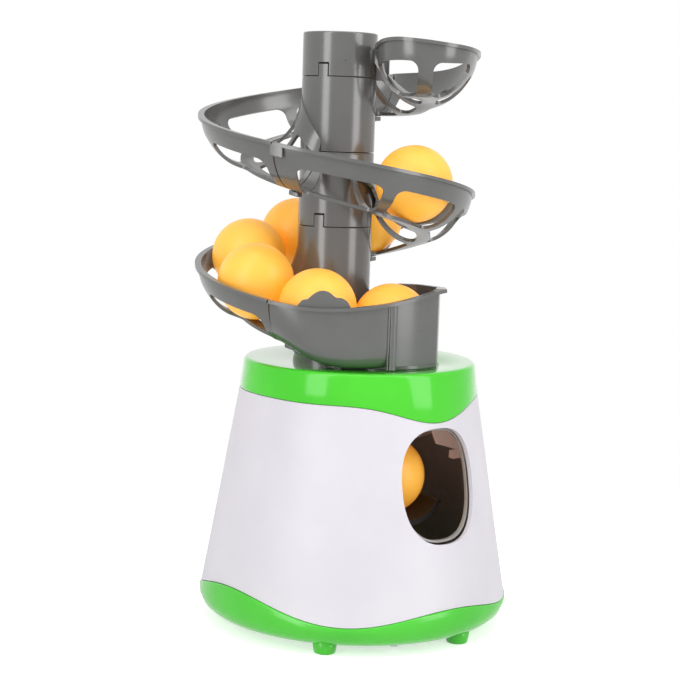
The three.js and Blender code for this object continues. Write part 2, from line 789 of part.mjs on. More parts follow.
function feedTray() {
  const rim = (deg) => trayRimLow + trayRimLift * table(trayRimShares,
    Math.min(1, (deg - moduleEnd) / trayTurnAngle));
  const depth = (deg) => rim(deg) - Math.max(ballZ(deg) - ballFloorDrop, trayFloorLow);
  const square = (deg) => mix(traySquareLowPower, traySquareHighPower,
    THREE.MathUtils.smoothstep(deg, traySquareFromAngle, traySquareToAngle));
  const top = seamZ(1);
  const attach = (deg) => top - trayAttachDrop - rim(deg);
  const stops = [moduleEnd + jointGapAngle];
  const trayEnd = moduleEnd + trayTurnAngle;
  for (let deg = moduleEnd + trayStepAngle; deg < trayEnd; deg += trayStepAngle) stops.push(deg);
  stops.push(trayEnd);
  const track = trackSkin(stops, rim, depth, square, attach, () => 'full');
  const column = columnTube(lidTop + fit, top - seamGap, false);
  const holeRing = disc(0, outletY, outletRadius, spigotSides);
  const floorPath = floorShares.map(([x, y]) => [boxSide * x, mix(boxFront, boxBack, y)]);
  const floor = slab('z', floorPath, lidTop + fit, lidTop + fit + floorThick);
  const spigot = slab('z', disc(0, outletY, spigotOuter, spigotSides), spigotLow, lidTop + floorThick);
  const [near, far] = [[], []];
  const path = boxShares.map(([x, y, z]) => [boxSide * x, mix(boxFront, boxBack, y),
    mix(boxRimLow, boxRimHigh, z)]);
  const boxPath = path.map(([x, y, z], i) => {
    const before = path[Math.max(0, i - 1)];
    const after = path[Math.min(path.length - 1, i + 1)];
    const side = (p, q) => {
      const size = Math.hypot(q[0] - p[0], q[1] - p[1]);
      return [(q[1] - p[1]) / size, (p[0] - q[0]) / size];
    };
    const one = i > 0 ? side(before, [x, y]) : side([x, y], after);
    const two = i < path.length - 1 ? side([x, y], after) : one;
    const scale = 1 / (1 + one[0] * two[0] + one[1] * two[1]);
    return [x, y, z, [(one[0] + two[0]) * scale, (one[1] + two[1]) * scale]];
  });
  const rows = [
    (p, m, z) => [z, z - lipThick].map((high) => [p[0] + m[0] * (lipReach - wall),
      p[1] + m[1] * (lipReach - wall), high]),
    (p, m, z) => [[p[0] - m[0] * wall, p[1] - m[1] * wall, z], [p[0], p[1], z - lipThick]],
    (p, m) => [[p[0] - m[0] * wall, p[1] - m[1] * wall, lidTop + fit], [p[0], p[1], lidTop + fit]],
  ];
  for (const row of rows) {
    for (const [x, y, z, m] of boxPath) {
      const [a, b] = row([x, y], m, z);
      near.push(a);
      far.push(b);
    }
  }
  const box = skin(near, far, grid(rows.length, boxPath.length, () => 'full'));
  const badgeLoops = badgeShares.map(([along, share]) => {
    const deg = badgeStartAngle + badgeWideAngle * along;
    const [x0, y0] = onColumn(badgeInner, deg);
    const [x1, y1] = onColumn(badgeOuter, deg);
    const [low, high] = [rim(deg) + badgeFoot, rim(deg) + badgeRise * share];
    return [[x0, y0, low], [x1, y1, low], [x1, y1, high], [x0, y0, high]];
  });
  const ridges = ridgeAngles.map(([a, b]) => arcBlock(a, b, ridgeInner, ridgeOuter, () => lidTop + fit,
    (d) => rim(d) - lipThick * halfShare, 1));
  const slot = block(-gateSlotHalf, gateSlotHalf, outletY + outletRadius - gateSlotDeep,
    outletY + chuteOuter + cutOver, spigotLow - cutOver, lidTop + fit);
  const body = join(track, column, floor, spigot, box, tube(badgeLoops), ...ridges,
    columnTab(jointAngle, top));
  const drop = slab('z', holeRing, spigotLow - cutOver, lidTop + dropHigh);
  const bore = slab('z', disc(0, columnY, columnBore, columnSides), lidTop - cutOver,
    top - collarDrop - collarBlend);
  const ballRoom = new THREE.SphereGeometry(ballRadius + fit, ballSlices, ballRings);
  ballRoom.rotateX(rad(quarterTurn));
  ballRoom.translate(...onColumn(ballPath, outletAngle), outletBallZ);
  return cut(body, drop, slot, bore, fromGeometry(ballRoom));
}

add('tower_start', towerStart(), 'grey', meshSlack);
add('tower_module_a', towerModule(topSectionIndex), 'grey', meshSlack);
add('tower_module_b', towerModule(topSectionIndex + 1), 'grey', meshSlack);
add('tower_module_c', towerModule(topSectionIndex + 2), 'grey', meshSlack);
add('feed_tray', feedTray(), 'grey', meshSlack);

// The balls.
const ballAngles = { 1: -70 };
{
  // Each ball above the outlet touches the one below it.
  let deg = outletAngle;
  for (let k = 7; k >= 2; k -= 1) {
    ballAngles[k] = deg;
    const below = [...onColumn(ballPath, deg), ballZ(deg)];
    let [low, high] = [deg - quarterTurn, deg - 1];
    for (let i = 0; i < settleSteps; i += 1) {
      const middle = (low + high) / 2;
      const at = [...onColumn(ballPath, middle), ballZ(middle)];
      if (Math.hypot(at[0] - below[0], at[1] - below[1], at[2] - below[2]) > ballSpacing) low = middle;
      else high = middle;
    }
    deg = (low + high) / 2;
  }
}
const ballBody = (x, y, z) => {
  const geometry = new THREE.SphereGeometry(ballRadius, ballSlices, ballRings);
  geometry.rotateX(rad(quarterTurn));
  geometry.translate(x, y, z);
  return fromGeometry(geometry);
};
for (let k = 1; k <= 7; k += 1) add(`ball_${k}`, ballBody(...onColumn(ballPath, ballAngles[k]),
  ballZ(ballAngles[k])), 'ball');
add('ball_8', ballBody(0, launchY, launchZ), 'ball');

// Body shell, lid and pan.
const coneRadius = chuteFlange - launchY + chuteClear + (chuteHigh - coneZ) * coneSlope;
const coneAt = (z) => coneRadius + (coneZ - z) * coneSlope;
const fromFront = (deg) => Math.abs(((deg + quarterTurn + fullTurn + halfTurn) % fullTurn) - halfTurn);
const lidEdge = (deg) => {
  const away = fromFront(deg);
  const dip = away < lidDipAngle ? lidDip * Math.cos((rad(quarterTurn) * away) / lidDipAngle) ** 2 : 0;
  return lidEdgeZ - dip + lidWaveHeight * Math.cos(rad(lidWaveCount * deg));
};
const panEdge = (deg) => {
  const away = fromFront(deg);
  return waveMid + waveFour * Math.cos(4 * rad(away)) - waveTwo * Math.cos(2 * rad(away));
};
const shellStops = angles(shellSides);
const lidRadius = coneAt(lidTop) + lidShoulder;
const panBulge = coneRadius + panProud;
const panEdgeRadius = panBulge - panEdgeInset;
const panSections = panCurveShares.map(([out, up]) => [panEdgeRadius + panEdgeInset * out,
  panLow + panCurveHigh * up]);
const guideBack = coneAt(guideHigh) - shellWall - guideClear;

const shellRing = ring(shellStops.map((deg) => {
  const [low, high] = [panEdge(deg), lidEdge(deg)];
  const at = (z, inset) => [...polar(coneAt(z) - inset, deg, 0, 0), z];
  const deep = lapStep + shellWall - fit;
  return [at(low - lapHigh, lapStep), at(low, lapStep), at(low, 0), at(high, 0), at(high, lapStep),
    at(high + lapHigh, lapStep), at(high + lapHigh, deep), at(high - lapBlend, deep),
      at(high - 2 * lapBlend, shellWall),
    at(low + 2 * lapBlend, shellWall), at(low + lapBlend, deep), at(low - lapHigh, deep)];
}));
const oval = (halfWidth, halfHeight) => angles(openingSides).map((deg) => {
  const [c, s] = [Math.cos(rad(deg)), Math.sin(rad(deg))];
  const share = 2 / openingPower;
  return [openingZ + Math.sign(s) * halfHeight * Math.abs(s) ** share,
    Math.sign(c) * halfWidth * Math.abs(c) ** share];
});
const posts = postAngles.map((deg) => {
  const [x, y] = polar(coneRadius - postInset, deg, 0, 0);
  const z0 = panLow + panFloorThick + fit;
  const along = polar(1, deg, 0, 0);
  const corner = (reach, side) => [x + along[0] * reach - along[1] * side,
    y + along[1] * reach + along[0] * side];
  const rib = slab('z', [corner(0, -postRib), corner(postRibReach, -postRib), corner(postRibReach, postRib),
    corner(0, postRib)],
    waveMid + lapHigh, postTop);
  return {
    post: slab('z', disc(x, y, postRadius, postSides), z0, postTop),
    rib,
    bore: slab('z', disc(x, y, postBore, postSides), z0 - cutOver, postTop - postRadius),
    screwHole: slab('z', disc(x, y, screwHoleRadius, postSides), panLow - cutOver, z0),
    screw: join(slab('z', disc(x, y, screwRadius, postSides), panLow - screwHeadThick, screwTop),
      slab('z', disc(x, y, screwHeadRadius, postSides), panLow - screwHeadThick - fit, panLow - fit)),
  };
});
const coneCore = turned([[coneAt(0) + coneRadius, 0], [coneAt(0) + coneRadius, columnTop],
  [coneAt(columnTop) - shellWall * halfShare, columnTop],
  [coneAt(0) - shellWall * halfShare, 0]], shellSides, 0, 0);
const switchSlot = block(-switchWidth * halfShare, switchWidth * halfShare, coneAt(switchZ) - lapHigh,
  coneAt(switchZ) + lapHigh,
  switchZ - switchHeight * halfShare, switchZ + switchHeight * halfShare);
const ribs = posts.map((p) => cut(p.rib, coneCore));
add('body_shell', cut(join(shellRing, ...posts.map((p) => p.post), ...ribs),
  slab('y', oval(openingHalfWidth, openingHalfHeight), -coneRadius - cutOver, -coneRadius * halfShare),
    switchSlot, ...posts.map((p) => p.bore)), 'white', meshSlack);

const lidRing = ring(shellStops.map((deg) => {
  const edge = lidEdge(deg) + fit;
  const at = (z, inset) => [...polar(coneAt(z) - inset, deg, 0, 0), z];
  const flat = (r, z) => [...polar(r, deg, 0, 0), z];
  return [at(edge, -lidProud), flat(lidRadius + coneSlope * lidFillet, lidTop - lidFillet),
    flat(lidRadius - lidFillet * lidRoundShare, lidTop - lidFillet * lidRoundShare),
    flat(lidRadius - lidFillet, lidTop), flat(columnBore, lidTop), flat(columnBore, lidTop - lidWall),
    flat(lidRadius - 2 * lidFillet, lidTop - lidWall), at(edge + lapHigh + lapBlend, lidSkirtWall),
      at(edge, lidSkirtWall)];
}));
const lidCore = slab('z', disc(0, 0, columnBore + lidCoreLap, shellSides), lidTop - lidWall, lidTop);
add('top_lid', cut(join(lidRing, lidCore), slab('z', disc(0, outletY, lidHoleRadius, spigotSides),
  lidTop - lidWall - cutOver, lidTop + cutOver)), 'green', meshSlack);

const panRing = ring(shellStops.map((deg) => {
  const edge = panEdge(deg) - fit;
  const flat = (r, z) => [...polar(r, deg, 0, 0), z];
  const outer = panSections.map(([r, z]) => flat(r, z));
  const inner = panSections.map(([r, z]) => flat(r - panWall, z + panWall * halfShare)).reverse();
  const lip = Math.max(coneAt(edge) + panLipProud, panBulge - panLipStep);
  const low = Math.min(edge - lapHigh - fit, panShoulder);
  return [flat(panEdgeRadius, panLow), ...outer, flat(lip + fit, Math.min(edge - panLipRound, panWaist)),
    flat(lip, edge), flat(coneAt(edge) - lapStep + fit, edge),
    flat(coneAt(low) - lapStep + fit, low), ...inner.slice(1),
      flat(panEdgeRadius - panLipRound, panLow + panFloorThick), flat(bayX, panLow + panFloorThick),
      flat(bayX, panLow)];
}));
const panFloor = panLow + panFloorThick;
const feet = footAngles.map((deg) => {
  const [x, y] = polar(panBulge - footInset, deg, 0, 0);
  return tube([disc(x, y, footTip, footSides).map((p) => [...p, 0]),
    disc(x, y, footRadius, footSides).map((p) => [...p, footRoot])]);
});
const panCore = turned([[0, panFloor], [panEdgeRadius, panFloor],
  ...panSections.map(([r, z]) => [r - panWall, z + panWall * halfShare]),
  [panSections[2][0] - panWall, bayTop], [0, bayTop]], shellSides, 0, 0);
const bayOuter = rect(-bayX - bayWall, bayFront - bayWall, bayX + bayWall, bayBack + bayWall);
const bayInner = rect(-bayX, bayFront, bayX, bayBack);
const bayWalls = slab('z', bayOuter, panLow + panFloorThick * halfShare, bayTop, [bayInner]);
const bayLedge = slab('z', bayOuter, panFloor - fit, panFloor + doorLedge,
  [rect(-bayX + doorLedge, bayFront + doorLedge, bayX - doorLedge, bayBack - doorLedge)]);
const bayHole = slab('z', bayInner, panLow - cutOver, panFloor - fit);
const cellHole = slab('z', rect(-bayX + doorLedge, bayFront + doorLedge, bayX - doorLedge,
  bayBack - doorLedge), panLow - cutOver, bayTop + cutOver);
const panBody = join(panRing, slab('z', disc(0, 0, bayX + panFloorLap, shellSides), panLow, panFloor),
  bayWalls, ...feet.map((f) => cut(f, panCore)));
const screwHoles = posts.map((p) => p.screwHole);
add('base_pan', cut(join(cut(panBody, slab('z', bayInner, panLow - cutOver, bayTop + cutOver)), bayLedge),
  cellHole, bayHole, ...screwHoles), 'green', meshSlack);
add('battery_door', slab('z', rect(-bayX + fit, bayFront + fit, bayX - fit, bayBack - fit), panLow,
  panFloor - 2 * fit), 'green');

// Battery bay.
for (let i = 0; i < cellCount; i += 1) {
  const y = cellFirstY + i * cellSpacing;
  const way = i % 2 ? -1 : 1;
  const half = cellLength * halfShare;
  const can = slab('x', disc(y, cellZ, cellRadius, cellSides), -half, half);
  const nub = way > 0 ? [half - fit, half + cellNubLength] : [-half - cellNubLength, -half + fit];
  add(`battery_cell_${i + 1}`, join(can, slab('x', disc(y, cellZ, cellNub, cellSides), ...nub)), 'cell');
}
for (const [name, side] of [['battery_contact_left', -1], ['battery_contact_right', 1]]) {
  const wallAt = side * (bayX - fit);
  const plateAt = side * (bayX - fit - contactThick);
  const [x0, x1] = [Math.min(wallAt, plateAt), Math.max(wallAt, plateAt)];
  const strip = block(x0, x1, bayFront + contactInset, bayBack - contactInset, cellZ - cellNub,
    cellZ + cellNub);
  const pips = [...Array(cellCount).keys()].map((i) => {
    const y = cellFirstY + i * cellSpacing;
    const nubbed = (i % 2 ? -1 : 1) === side;
    const tip = side * (cellLength * halfShare + fit + (nubbed ? cellNubLength : 0));
    const foot = side * (bayX - fit - contactThick * halfShare);
    return block(Math.min(tip, foot), Math.max(tip, foot), y - cellNub, y + cellNub, cellZ - contactBump,
      cellZ + contactBump);
  });
  add(name, join(strip, ...pips), 'steel');
}

// Gears.
/** Involute of the base circle: radius and polar angle, in radians, at a given radius. */
const involute = (radius, base) => {
  const t = Math.sqrt(Math.max(0, (radius / base) ** 2 - 1));
  return t - Math.atan(t);
};

/** Outline of a spur gear. keep limits the teeth to the first ones, and phase turns the whole gear. */
function gearOutline(teeth, size, phase, keep = teeth) {
  const pitch = (teeth * size) / 2;
  const base = pitch * Math.cos(rad(pressureAngle));
  const tip = pitch + size * addendumShare;
  const root = pitch - size * dedendumShare;
  const half = Math.PI / (2 * teeth) - backlash / pitch / 2;
  const low = Math.max(root, base);
  const points = [];
  const put = (radius, turn) => points.push([radius * Math.cos(turn), radius * Math.sin(turn)]);
  for (let i = 0; i < teeth; i += 1) {
    const middle = rad(phase) + (2 * Math.PI * i) / teeth;
    if (i >= keep) {
      put(root, middle);
      put(root, middle + Math.PI / teeth);
      continue;
    }
    const spread = (radius) => half + involute(pitch, base) - involute(radius, base);
    put(root, middle - spread(low));
    put(tip, middle - spread(tip));
    put(tip, middle + spread(tip));
    put(root, middle + spread(low));
  }
  return points;
}
const moved = (points, a, b) => points.map(([p, q]) => [p + a, q + b]);
const toothStep = (teeth) => fullTurn / teeth;

/** Phase of a gear that meshes with another whose tooth points at the line between them. */
const meshPhase = (teeth, towards) => towards + toothStep(teeth) / 2;

// The sector's teeth start at the top, under the rack, and run on towards the launch side, so
// that they pull
// the hammer back and then let it go.
const sectorPitch = (rackModule * sectorTeeth) / 2;
const rackPitchZ = driveZ + sectorPitch;
const sectorPhase = quarterTurn;
const sector = slab('x', moved(gearOutline(sectorTeeth, rackModule, sectorPhase, sectorKept), driveY,
  driveZ), -sectorHalf, driveLeft + fit);
const towardsReduction = Math.atan2(reductionZ - driveZ, reductionY - driveY) * (halfTurn / Math.PI);
const driveDisc = slab('x', moved(gearOutline(driveTeeth, gearModule, towardsReduction), driveY, driveZ),
  driveLeft, driveRight);
const driveHub = slab('x', disc(driveY, driveZ, hubRadius, axleSides), plateLeft[1] + fit,
  plateRight[0] - fit);
const bore = (y, z, radius) => slab('x', disc(y, z, radius, axleSides), plateLeft[0] - postRadius,
  plateRight[1] + postRadius);
add('drive_gear', cut(join(sector, driveDisc, driveHub), bore(driveY, driveZ, axleRadius + runningGap)),
  'gear');
const pinionPhase = meshPhase(pinionTeeth, towardsReduction + halfTurn);
const towardsMotor = Math.atan2(motorZ - reductionZ, motorY - reductionY) * (halfTurn / Math.PI);
const reductionDisc = slab('x', moved(gearOutline(reductionTeeth, gearModule, towardsMotor), reductionY,
  reductionZ), reductionLeft, reductionRight);
const pinion = slab('x', moved(gearOutline(pinionTeeth, gearModule, pinionPhase), reductionY, reductionZ),
  driveLeft - fit, reductionLeft + fit);
const reductionHub = slab('x', disc(reductionY, reductionZ, thinHubRadius, axleSides), plateLeft[1] + fit,
  plateRight[0] - fit);
add('reduction_gear', cut(join(reductionDisc, pinion, reductionHub),
  bore(reductionY, reductionZ, thinAxleRadius + runningGap)), 'gear');
const motorPhase = meshPhase(motorTeeth, towardsMotor + halfTurn);
const shaft = slab('x', disc(motorY, motorZ, thinAxleRadius * halfShare, axleSides),
  motorPinionLeft - axleProud, plateRight[1] + shaftReach);
add('motor_pinion', join(slab('x', moved(gearOutline(motorTeeth, gearModule, motorPhase), motorY, motorZ),
  motorPinionLeft, motorPinionRight), shaft), 'steel');
const axle = (y, z, radius) => slab('x', disc(y, z, radius, axleSides), plateLeft[0] - axleProud,
  plateRight[1] + axleProud);
add('drive_axle', axle(driveY, driveZ, axleRadius), 'steel');
add('reduction_axle', axle(reductionY, reductionZ, thinAxleRadius), 'steel');

// Gearbox and motor.
const axleHole = (y, z, radius) => disc(y, z, radius + runningGap, axleSides);
const holes = [axleHole(driveY, driveZ, axleRadius), axleHole(reductionY, reductionZ, thinAxleRadius)];
const plateOutline = plateShares.map(([y, z]) => [plateFront + plateDeep * y, plateFoot + plateTall * z]);
add('gearbox_plate_left', slab('x', plateOutline, ...plateLeft, holes), 'dark');
add('gearbox_plate_right', slab('x', plateOutline, ...plateRight,
  [...holes, disc(motorY, motorZ, motorHole, axleSides)]), 'dark');
const motorCan = Manifold.intersection(slab('x', disc(motorY, motorZ, motorRadius, motorSides),
  plateRight[1] + fit, plateRight[1] + fit + motorLength),
  block(0, coneRadius, motorY - motorRadius - cutOver, motorY + motorRadius + cutOver, motorZ - motorFlat,
    motorZ + motorFlat));
const motorBore = slab('x', disc(motorY, motorZ, thinAxleRadius * halfShare + runningGap, axleSides),
  plateRight[1], plateRight[1] + shaftReach + fit);
add('motor', cut(motorCan, motorBore), 'steel');

// Hammer, pad and guide.
const padBack = launchY + ballRadius + fit + padThick;
const headBack = padBack + fit + headThick;
add('striker_pad', slab('y', disc(launchZ, 0, padRadius, motorSides), launchY + ballRadius + fit, padBack),
  'rubber');
const head = slab('y', disc(launchZ, 0, headRadius, motorSides), padBack + fit, headBack);
const bar = block(-barHalf, barHalf, headBack - cutOver, barEnd, barLow, barHigh);
const stem = block(-railStemHalf, railStemHalf, railFront, barEnd, barHigh - cutOver, railHigh);
const flange = block(-railFlangeHalf, railFlangeHalf, railFront, barEnd, railLow, railHigh);
const lug = block(-lugReach, -barHalf + cutOver, barEnd - lugThick, barEnd, lugLow, lugHigh);
// The rack's spaces face the sector's first tooth. Teeth stand forward of the gear and pull back over it.
const rackPitch = Math.PI * rackModule;
const rackTooth = (y) => {
  const lean = Math.tan(rad(pressureAngle));
  const halfAtPitch = rackPitch * quarterShare - backlash * halfShare;
  const tipZ = rackPitchZ - rackAddendum;
  const rootZ = barLow + fit;
  return slab('x', [[y - halfAtPitch + lean * rackAddendum, tipZ],
    [y + halfAtPitch - lean * rackAddendum, tipZ],
    [y + halfAtPitch + lean * (rootZ - rackPitchZ), rootZ],
      [y - halfAtPitch - lean * (rootZ - rackPitchZ), rootZ]], -rackHalf, rackHalf);
};
const rack = [...Array(rackTeeth).keys()].map((i) => rackTooth(driveY - rackPitch * (i + halfShare)));
add('hammer', join(head, bar, stem, flange, lug, ...rack), 'dark');
const guideBlock = block(plateLeft[1] + fit, plateRight[0] - fit, guideFront, guideBack, guideLow,
  guideHigh);
const guideSlot = block(-railStemHalf - fit, railStemHalf + fit, guideFront - cutOver, guideBack + cutOver,
  guideLow - cutOver, railHigh);
const guideCavity = block(-railFlangeHalf - fit, railFlangeHalf + fit, guideFront - cutOver,
  guideBack + cutOver, railLow - fit, railHigh + fit);
const mastSlot = block(-mastHalf - fit, mastHalf + fit, guideFront - cutOver, mastSlotBack, railHigh,
  guideHigh + cutOver);
add('hammer_guide', cut(guideBlock, guideSlot, guideCavity, mastSlot), 'dark');

// Chute, cradle, liner and gate.
const chuteSlot = block(-gateSlotHalf, gateSlotHalf, outletY + outletRadius - gateSlotDeep,
  outletY + chuteFlange + cutOver, chuteSlotLow, chuteHigh + cutOver);
const chuteTube = turned([[outletRadius, chuteLow], [chuteOuter, chuteLow],
  [chuteOuter, chuteHigh - chuteFlangeThick],
  [chuteFlange, chuteHigh - chuteFlangeThick], [chuteFlange, chuteHigh], [chuteOuter + fit, chuteHigh],
    [chuteOuter + fit, spigotLow - fit], [outletRadius, spigotLow - fit]], spigotSides, 0, outletY);
add('ball_chute', cut(chuteTube, chuteSlot), 'dark');
const cradleArc = (radius) => [...Array(cradleSteps + 1).keys()].map((i) => {
  const turn = rad(-quarterTurn - cradleHalfAngle + (2 * cradleHalfAngle * i) / cradleSteps);
  return [launchZ + radius * Math.sin(turn), radius * Math.cos(turn)];
});
const cradleTrough = slab('y', [...cradleArc(ballRadius + fit),
  ...cradleArc(ballRadius + fit + cradleThick).reverse()], cradleFront, cradleBack);
const cradleStand = block(-cradleFootHalf, cradleFootHalf, cradleStandFront, cradleStandBack, bayTop + fit,
  launchZ - ballRadius - cutOver);
add('launch_cradle', join(cradleTrough, cradleStand), 'dark');
const linerAt = (deg, inset, y) => {
  const [c, s] = [Math.cos(rad(deg)), Math.sin(rad(deg))];
  const share = 2 / openingPower;
  const [w, h] = [openingHalfWidth - inset, openingHalfHeight - inset];
  return [Math.sign(c) * w * Math.abs(c) ** share, y, openingZ + Math.sign(s) * h * Math.abs(s) ** share];
};
const frontOf = (p, inset) => -Math.sqrt(Math.max(0, (coneAt(p[2]) - inset) ** 2 - p[0] ** 2));
const linerLoop = (deg) => {
  const outerAt = linerAt(deg, fit, 0);
  const innerAt = linerAt(deg, wall, 0);
  const place = (p, inset, back) => [p[0], frontOf(p, inset) + back, p[2]];
  return [place(innerAt, fit, 0), place(innerAt, 0, linerDepth), place(outerAt, 0, linerDepth),
    place(outerAt, fit, 0)];
};
add('muzzle_liner', ring(angles(openingSides).map(linerLoop)), 'grey');
// The gate rides on the hammer's rail. It holds the next ball up until the hammer is pulled back.
const gateTongue = block(-gateHalf, gateHalf, gateFront, gateBack, gateLow, gateHigh);
const gatePad = block(-gateHalf, gateHalf, gateFront, gateFront + gatePadLength, gateLow, gatePadTop);
const gateMast = block(-mastHalf, mastHalf, mastFront, gateBack, railHigh + fit, gateHigh);
add('feed_gate', join(gateTongue, gatePad, gateMast), 'gear');
const bracketHole = block(-gateHalf - fit, gateHalf + fit, bracketFront - cutOver, bracketBack + cutOver,
  gateLow - fit, gateHigh + fit);
add('gate_bracket', cut(block(-bracketHalf, bracketHalf, bracketFront, bracketBack, bracketLow, bracketTop),
  bracketHole), 'dark');

// Switch.
const switchOut = coneAt(switchZ);
const shellInside = turned([[0, 0], [coneAt(0) - shellWall - fit, 0],
  [coneAt(chuteHigh) - shellWall - fit, chuteHigh], [0, chuteHigh]], shellSides, 0, 0);
const switchBlock = block(-switchBodyX, switchBodyX, switchOut - shellWall - switchBodyDepth, switchOut,
  switchZ - switchBodyZ, switchZ + switchBodyZ);
const switchRecess = block(-switchWidth * halfShare, switchWidth * halfShare,
  switchOut - shellWall - switchBack, switchOut, switchZ - switchHeight * halfShare,
  switchZ + switchHeight * halfShare);
add('switch_body', cut(Manifold.intersection(switchBlock, shellInside), switchRecess), 'dark');
add('switch_knob', join(block(knobOffset - knobHalf, knobOffset + knobHalf,
  switchOut - shellWall - switchBack + fit, switchOut + knobProud, switchZ - knobHigh, switchZ + knobHigh)),
  'dark');

// Spring and base screws.
const springLoops = [];
const springSteps = springTurns * springStepsPerTurn;
for (let i = 0; i <= springSteps; i += 1) {
  const turn = (2 * Math.PI * i) / springStepsPerTurn;
  const y = mix(springFront, springBack, i / springSteps);
  springLoops.push(angles(springWireSides, springWirePhase).map((deg) => {
    const r = springRadius + springWire * Math.cos(rad(deg));
    return [springX + r * Math.cos(turn), y + springWire * Math.sin(rad(deg)),
      launchZ + r * Math.sin(turn)];
  }));
}
add('hammer_spring', tube(springLoops), 'steel');
add('spring_post', block(plateLeft[1] + fit, springX + springPostHalf,
  springFront - springPostThick - springWire - fit, springFront - springWire - fit,
  launchZ - springPostHalf, launchZ + springPostHalf), 'dark');
posts.forEach((p, i) => add(`base_screw_${i + 1}`, p.screw, 'steel'));

// The row frame has its origin at the middle of the bounding box, on the floor.
const bounds = new THREE.Box3().setFromObject(group);
const shift = new THREE.Vector3(-(bounds.min.x + bounds.max.x) / 2, -(bounds.min.y + bounds.max.y) / 2,
  -bounds.min.z);
for (const mesh of group.children) mesh.geometry.translate(shift.x, shift.y, shift.z);

export default group;
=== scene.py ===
import math
import bmesh
import bpy
import numpy as np
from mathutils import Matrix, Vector


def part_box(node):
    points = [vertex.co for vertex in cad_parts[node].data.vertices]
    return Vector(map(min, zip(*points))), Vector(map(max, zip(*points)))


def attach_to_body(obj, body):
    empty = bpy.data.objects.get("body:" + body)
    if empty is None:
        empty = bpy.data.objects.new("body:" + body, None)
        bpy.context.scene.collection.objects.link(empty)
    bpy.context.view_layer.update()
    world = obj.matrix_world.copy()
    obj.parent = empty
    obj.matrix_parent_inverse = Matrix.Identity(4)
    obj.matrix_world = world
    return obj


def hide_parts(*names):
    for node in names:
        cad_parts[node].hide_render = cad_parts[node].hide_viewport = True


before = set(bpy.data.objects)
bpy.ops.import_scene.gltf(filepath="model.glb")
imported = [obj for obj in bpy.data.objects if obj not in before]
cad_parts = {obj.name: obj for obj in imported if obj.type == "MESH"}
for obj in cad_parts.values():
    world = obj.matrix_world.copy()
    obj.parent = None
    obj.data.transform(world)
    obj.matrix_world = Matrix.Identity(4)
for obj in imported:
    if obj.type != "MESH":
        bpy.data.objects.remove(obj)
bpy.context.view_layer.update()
mm = 0.001
axisBehindBall = 25     # the body's axis lies this far behind the ball that is ready to fly
lowBall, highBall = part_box("ball_8")
baseY = (lowBall.y + highBall.y) / 2 / mm + axisBehindBall


camera = {"azimuth": -39.12, "distance": 879.93, "height": 259.52, "yaw": 0.69, "pitch": 7.22, "roll": 1.83,
          "focal": 1684.97, "frame": 680, "sensor": 36, "near": 0.05, "far": 50}


def linked(name, data):
    made = bpy.data.objects.new(name, data)
    bpy.context.scene.collection.objects.link(made)
    return made


def makeCamera():
    a, yaw, pitch, roll = (math.radians(camera[k]) for k in ("azimuth", "yaw", "pitch", "roll"))
    place = Vector((math.sin(a) * camera["distance"], -math.cos(a) * camera["distance"] + baseY, camera["height"]))
    level = Vector((-math.sin(a + yaw), math.cos(a + yaw), 0))
    ahead = level * math.cos(pitch) + Vector((0, 0, -math.sin(pitch)))
    right = ahead.cross(Vector((0, 0, 1))).normalized()
    up = right.cross(ahead)
    right, up = right * math.cos(roll) + up * math.sin(roll), up * math.cos(roll) - right * math.sin(roll)
    data = bpy.data.cameras.new("camera")
    data.sensor_width = camera["sensor"]
    data.lens = camera["focal"] / camera["frame"] * camera["sensor"]
    data.clip_start, data.clip_end = camera["near"], camera["far"]
    made = linked("camera", data)
    turn = made.matrix_world.to_3x3()
    for i, axis in enumerate((right, up, -ahead)):
        for k in range(3):
            turn[k][i] = axis[k]
    made.matrix_world = turn.to_4x4()
    made.location = place * mm
    bpy.context.scene.camera = made


aimHeight = 0.15
softBoxes = [   # bearing from the camera's side, in degrees, then metres and radiance
    {"bearing": -40, "height": 0.42, "distance": 1.25, "width": 0.5, "tall": 1.9, "radiance": 3.6},
    {"bearing": 60, "height": 0.42, "distance": 1.25, "width": 0.55, "tall": 1.9, "radiance": 3.2},
    {"bearing": 0, "height": 1.9, "distance": 0.35, "width": 1.6, "tall": 1.6, "radiance": 1.6},
]


def makeLights():
    aim = Vector((0, baseY * mm, aimHeight))
    for i, box in enumerate(softBoxes):
        a = math.radians(camera["azimuth"] + box["bearing"])
        data = bpy.data.lights.new(f"softBox{i}", "AREA")
        data.shape = "RECTANGLE"
        data.size, data.size_y = box["width"], box["tall"]
        data.energy = box["radiance"] * math.pi * box["width"] * box["tall"]
        made = linked(f"softBox{i}", data)
        made.location = aim + Vector((math.sin(a) * box["distance"], -math.cos(a) * box["distance"], box["height"]))
        made.rotation_euler = (aim - made.location).to_track_quat("-Z", "Y").to_euler()


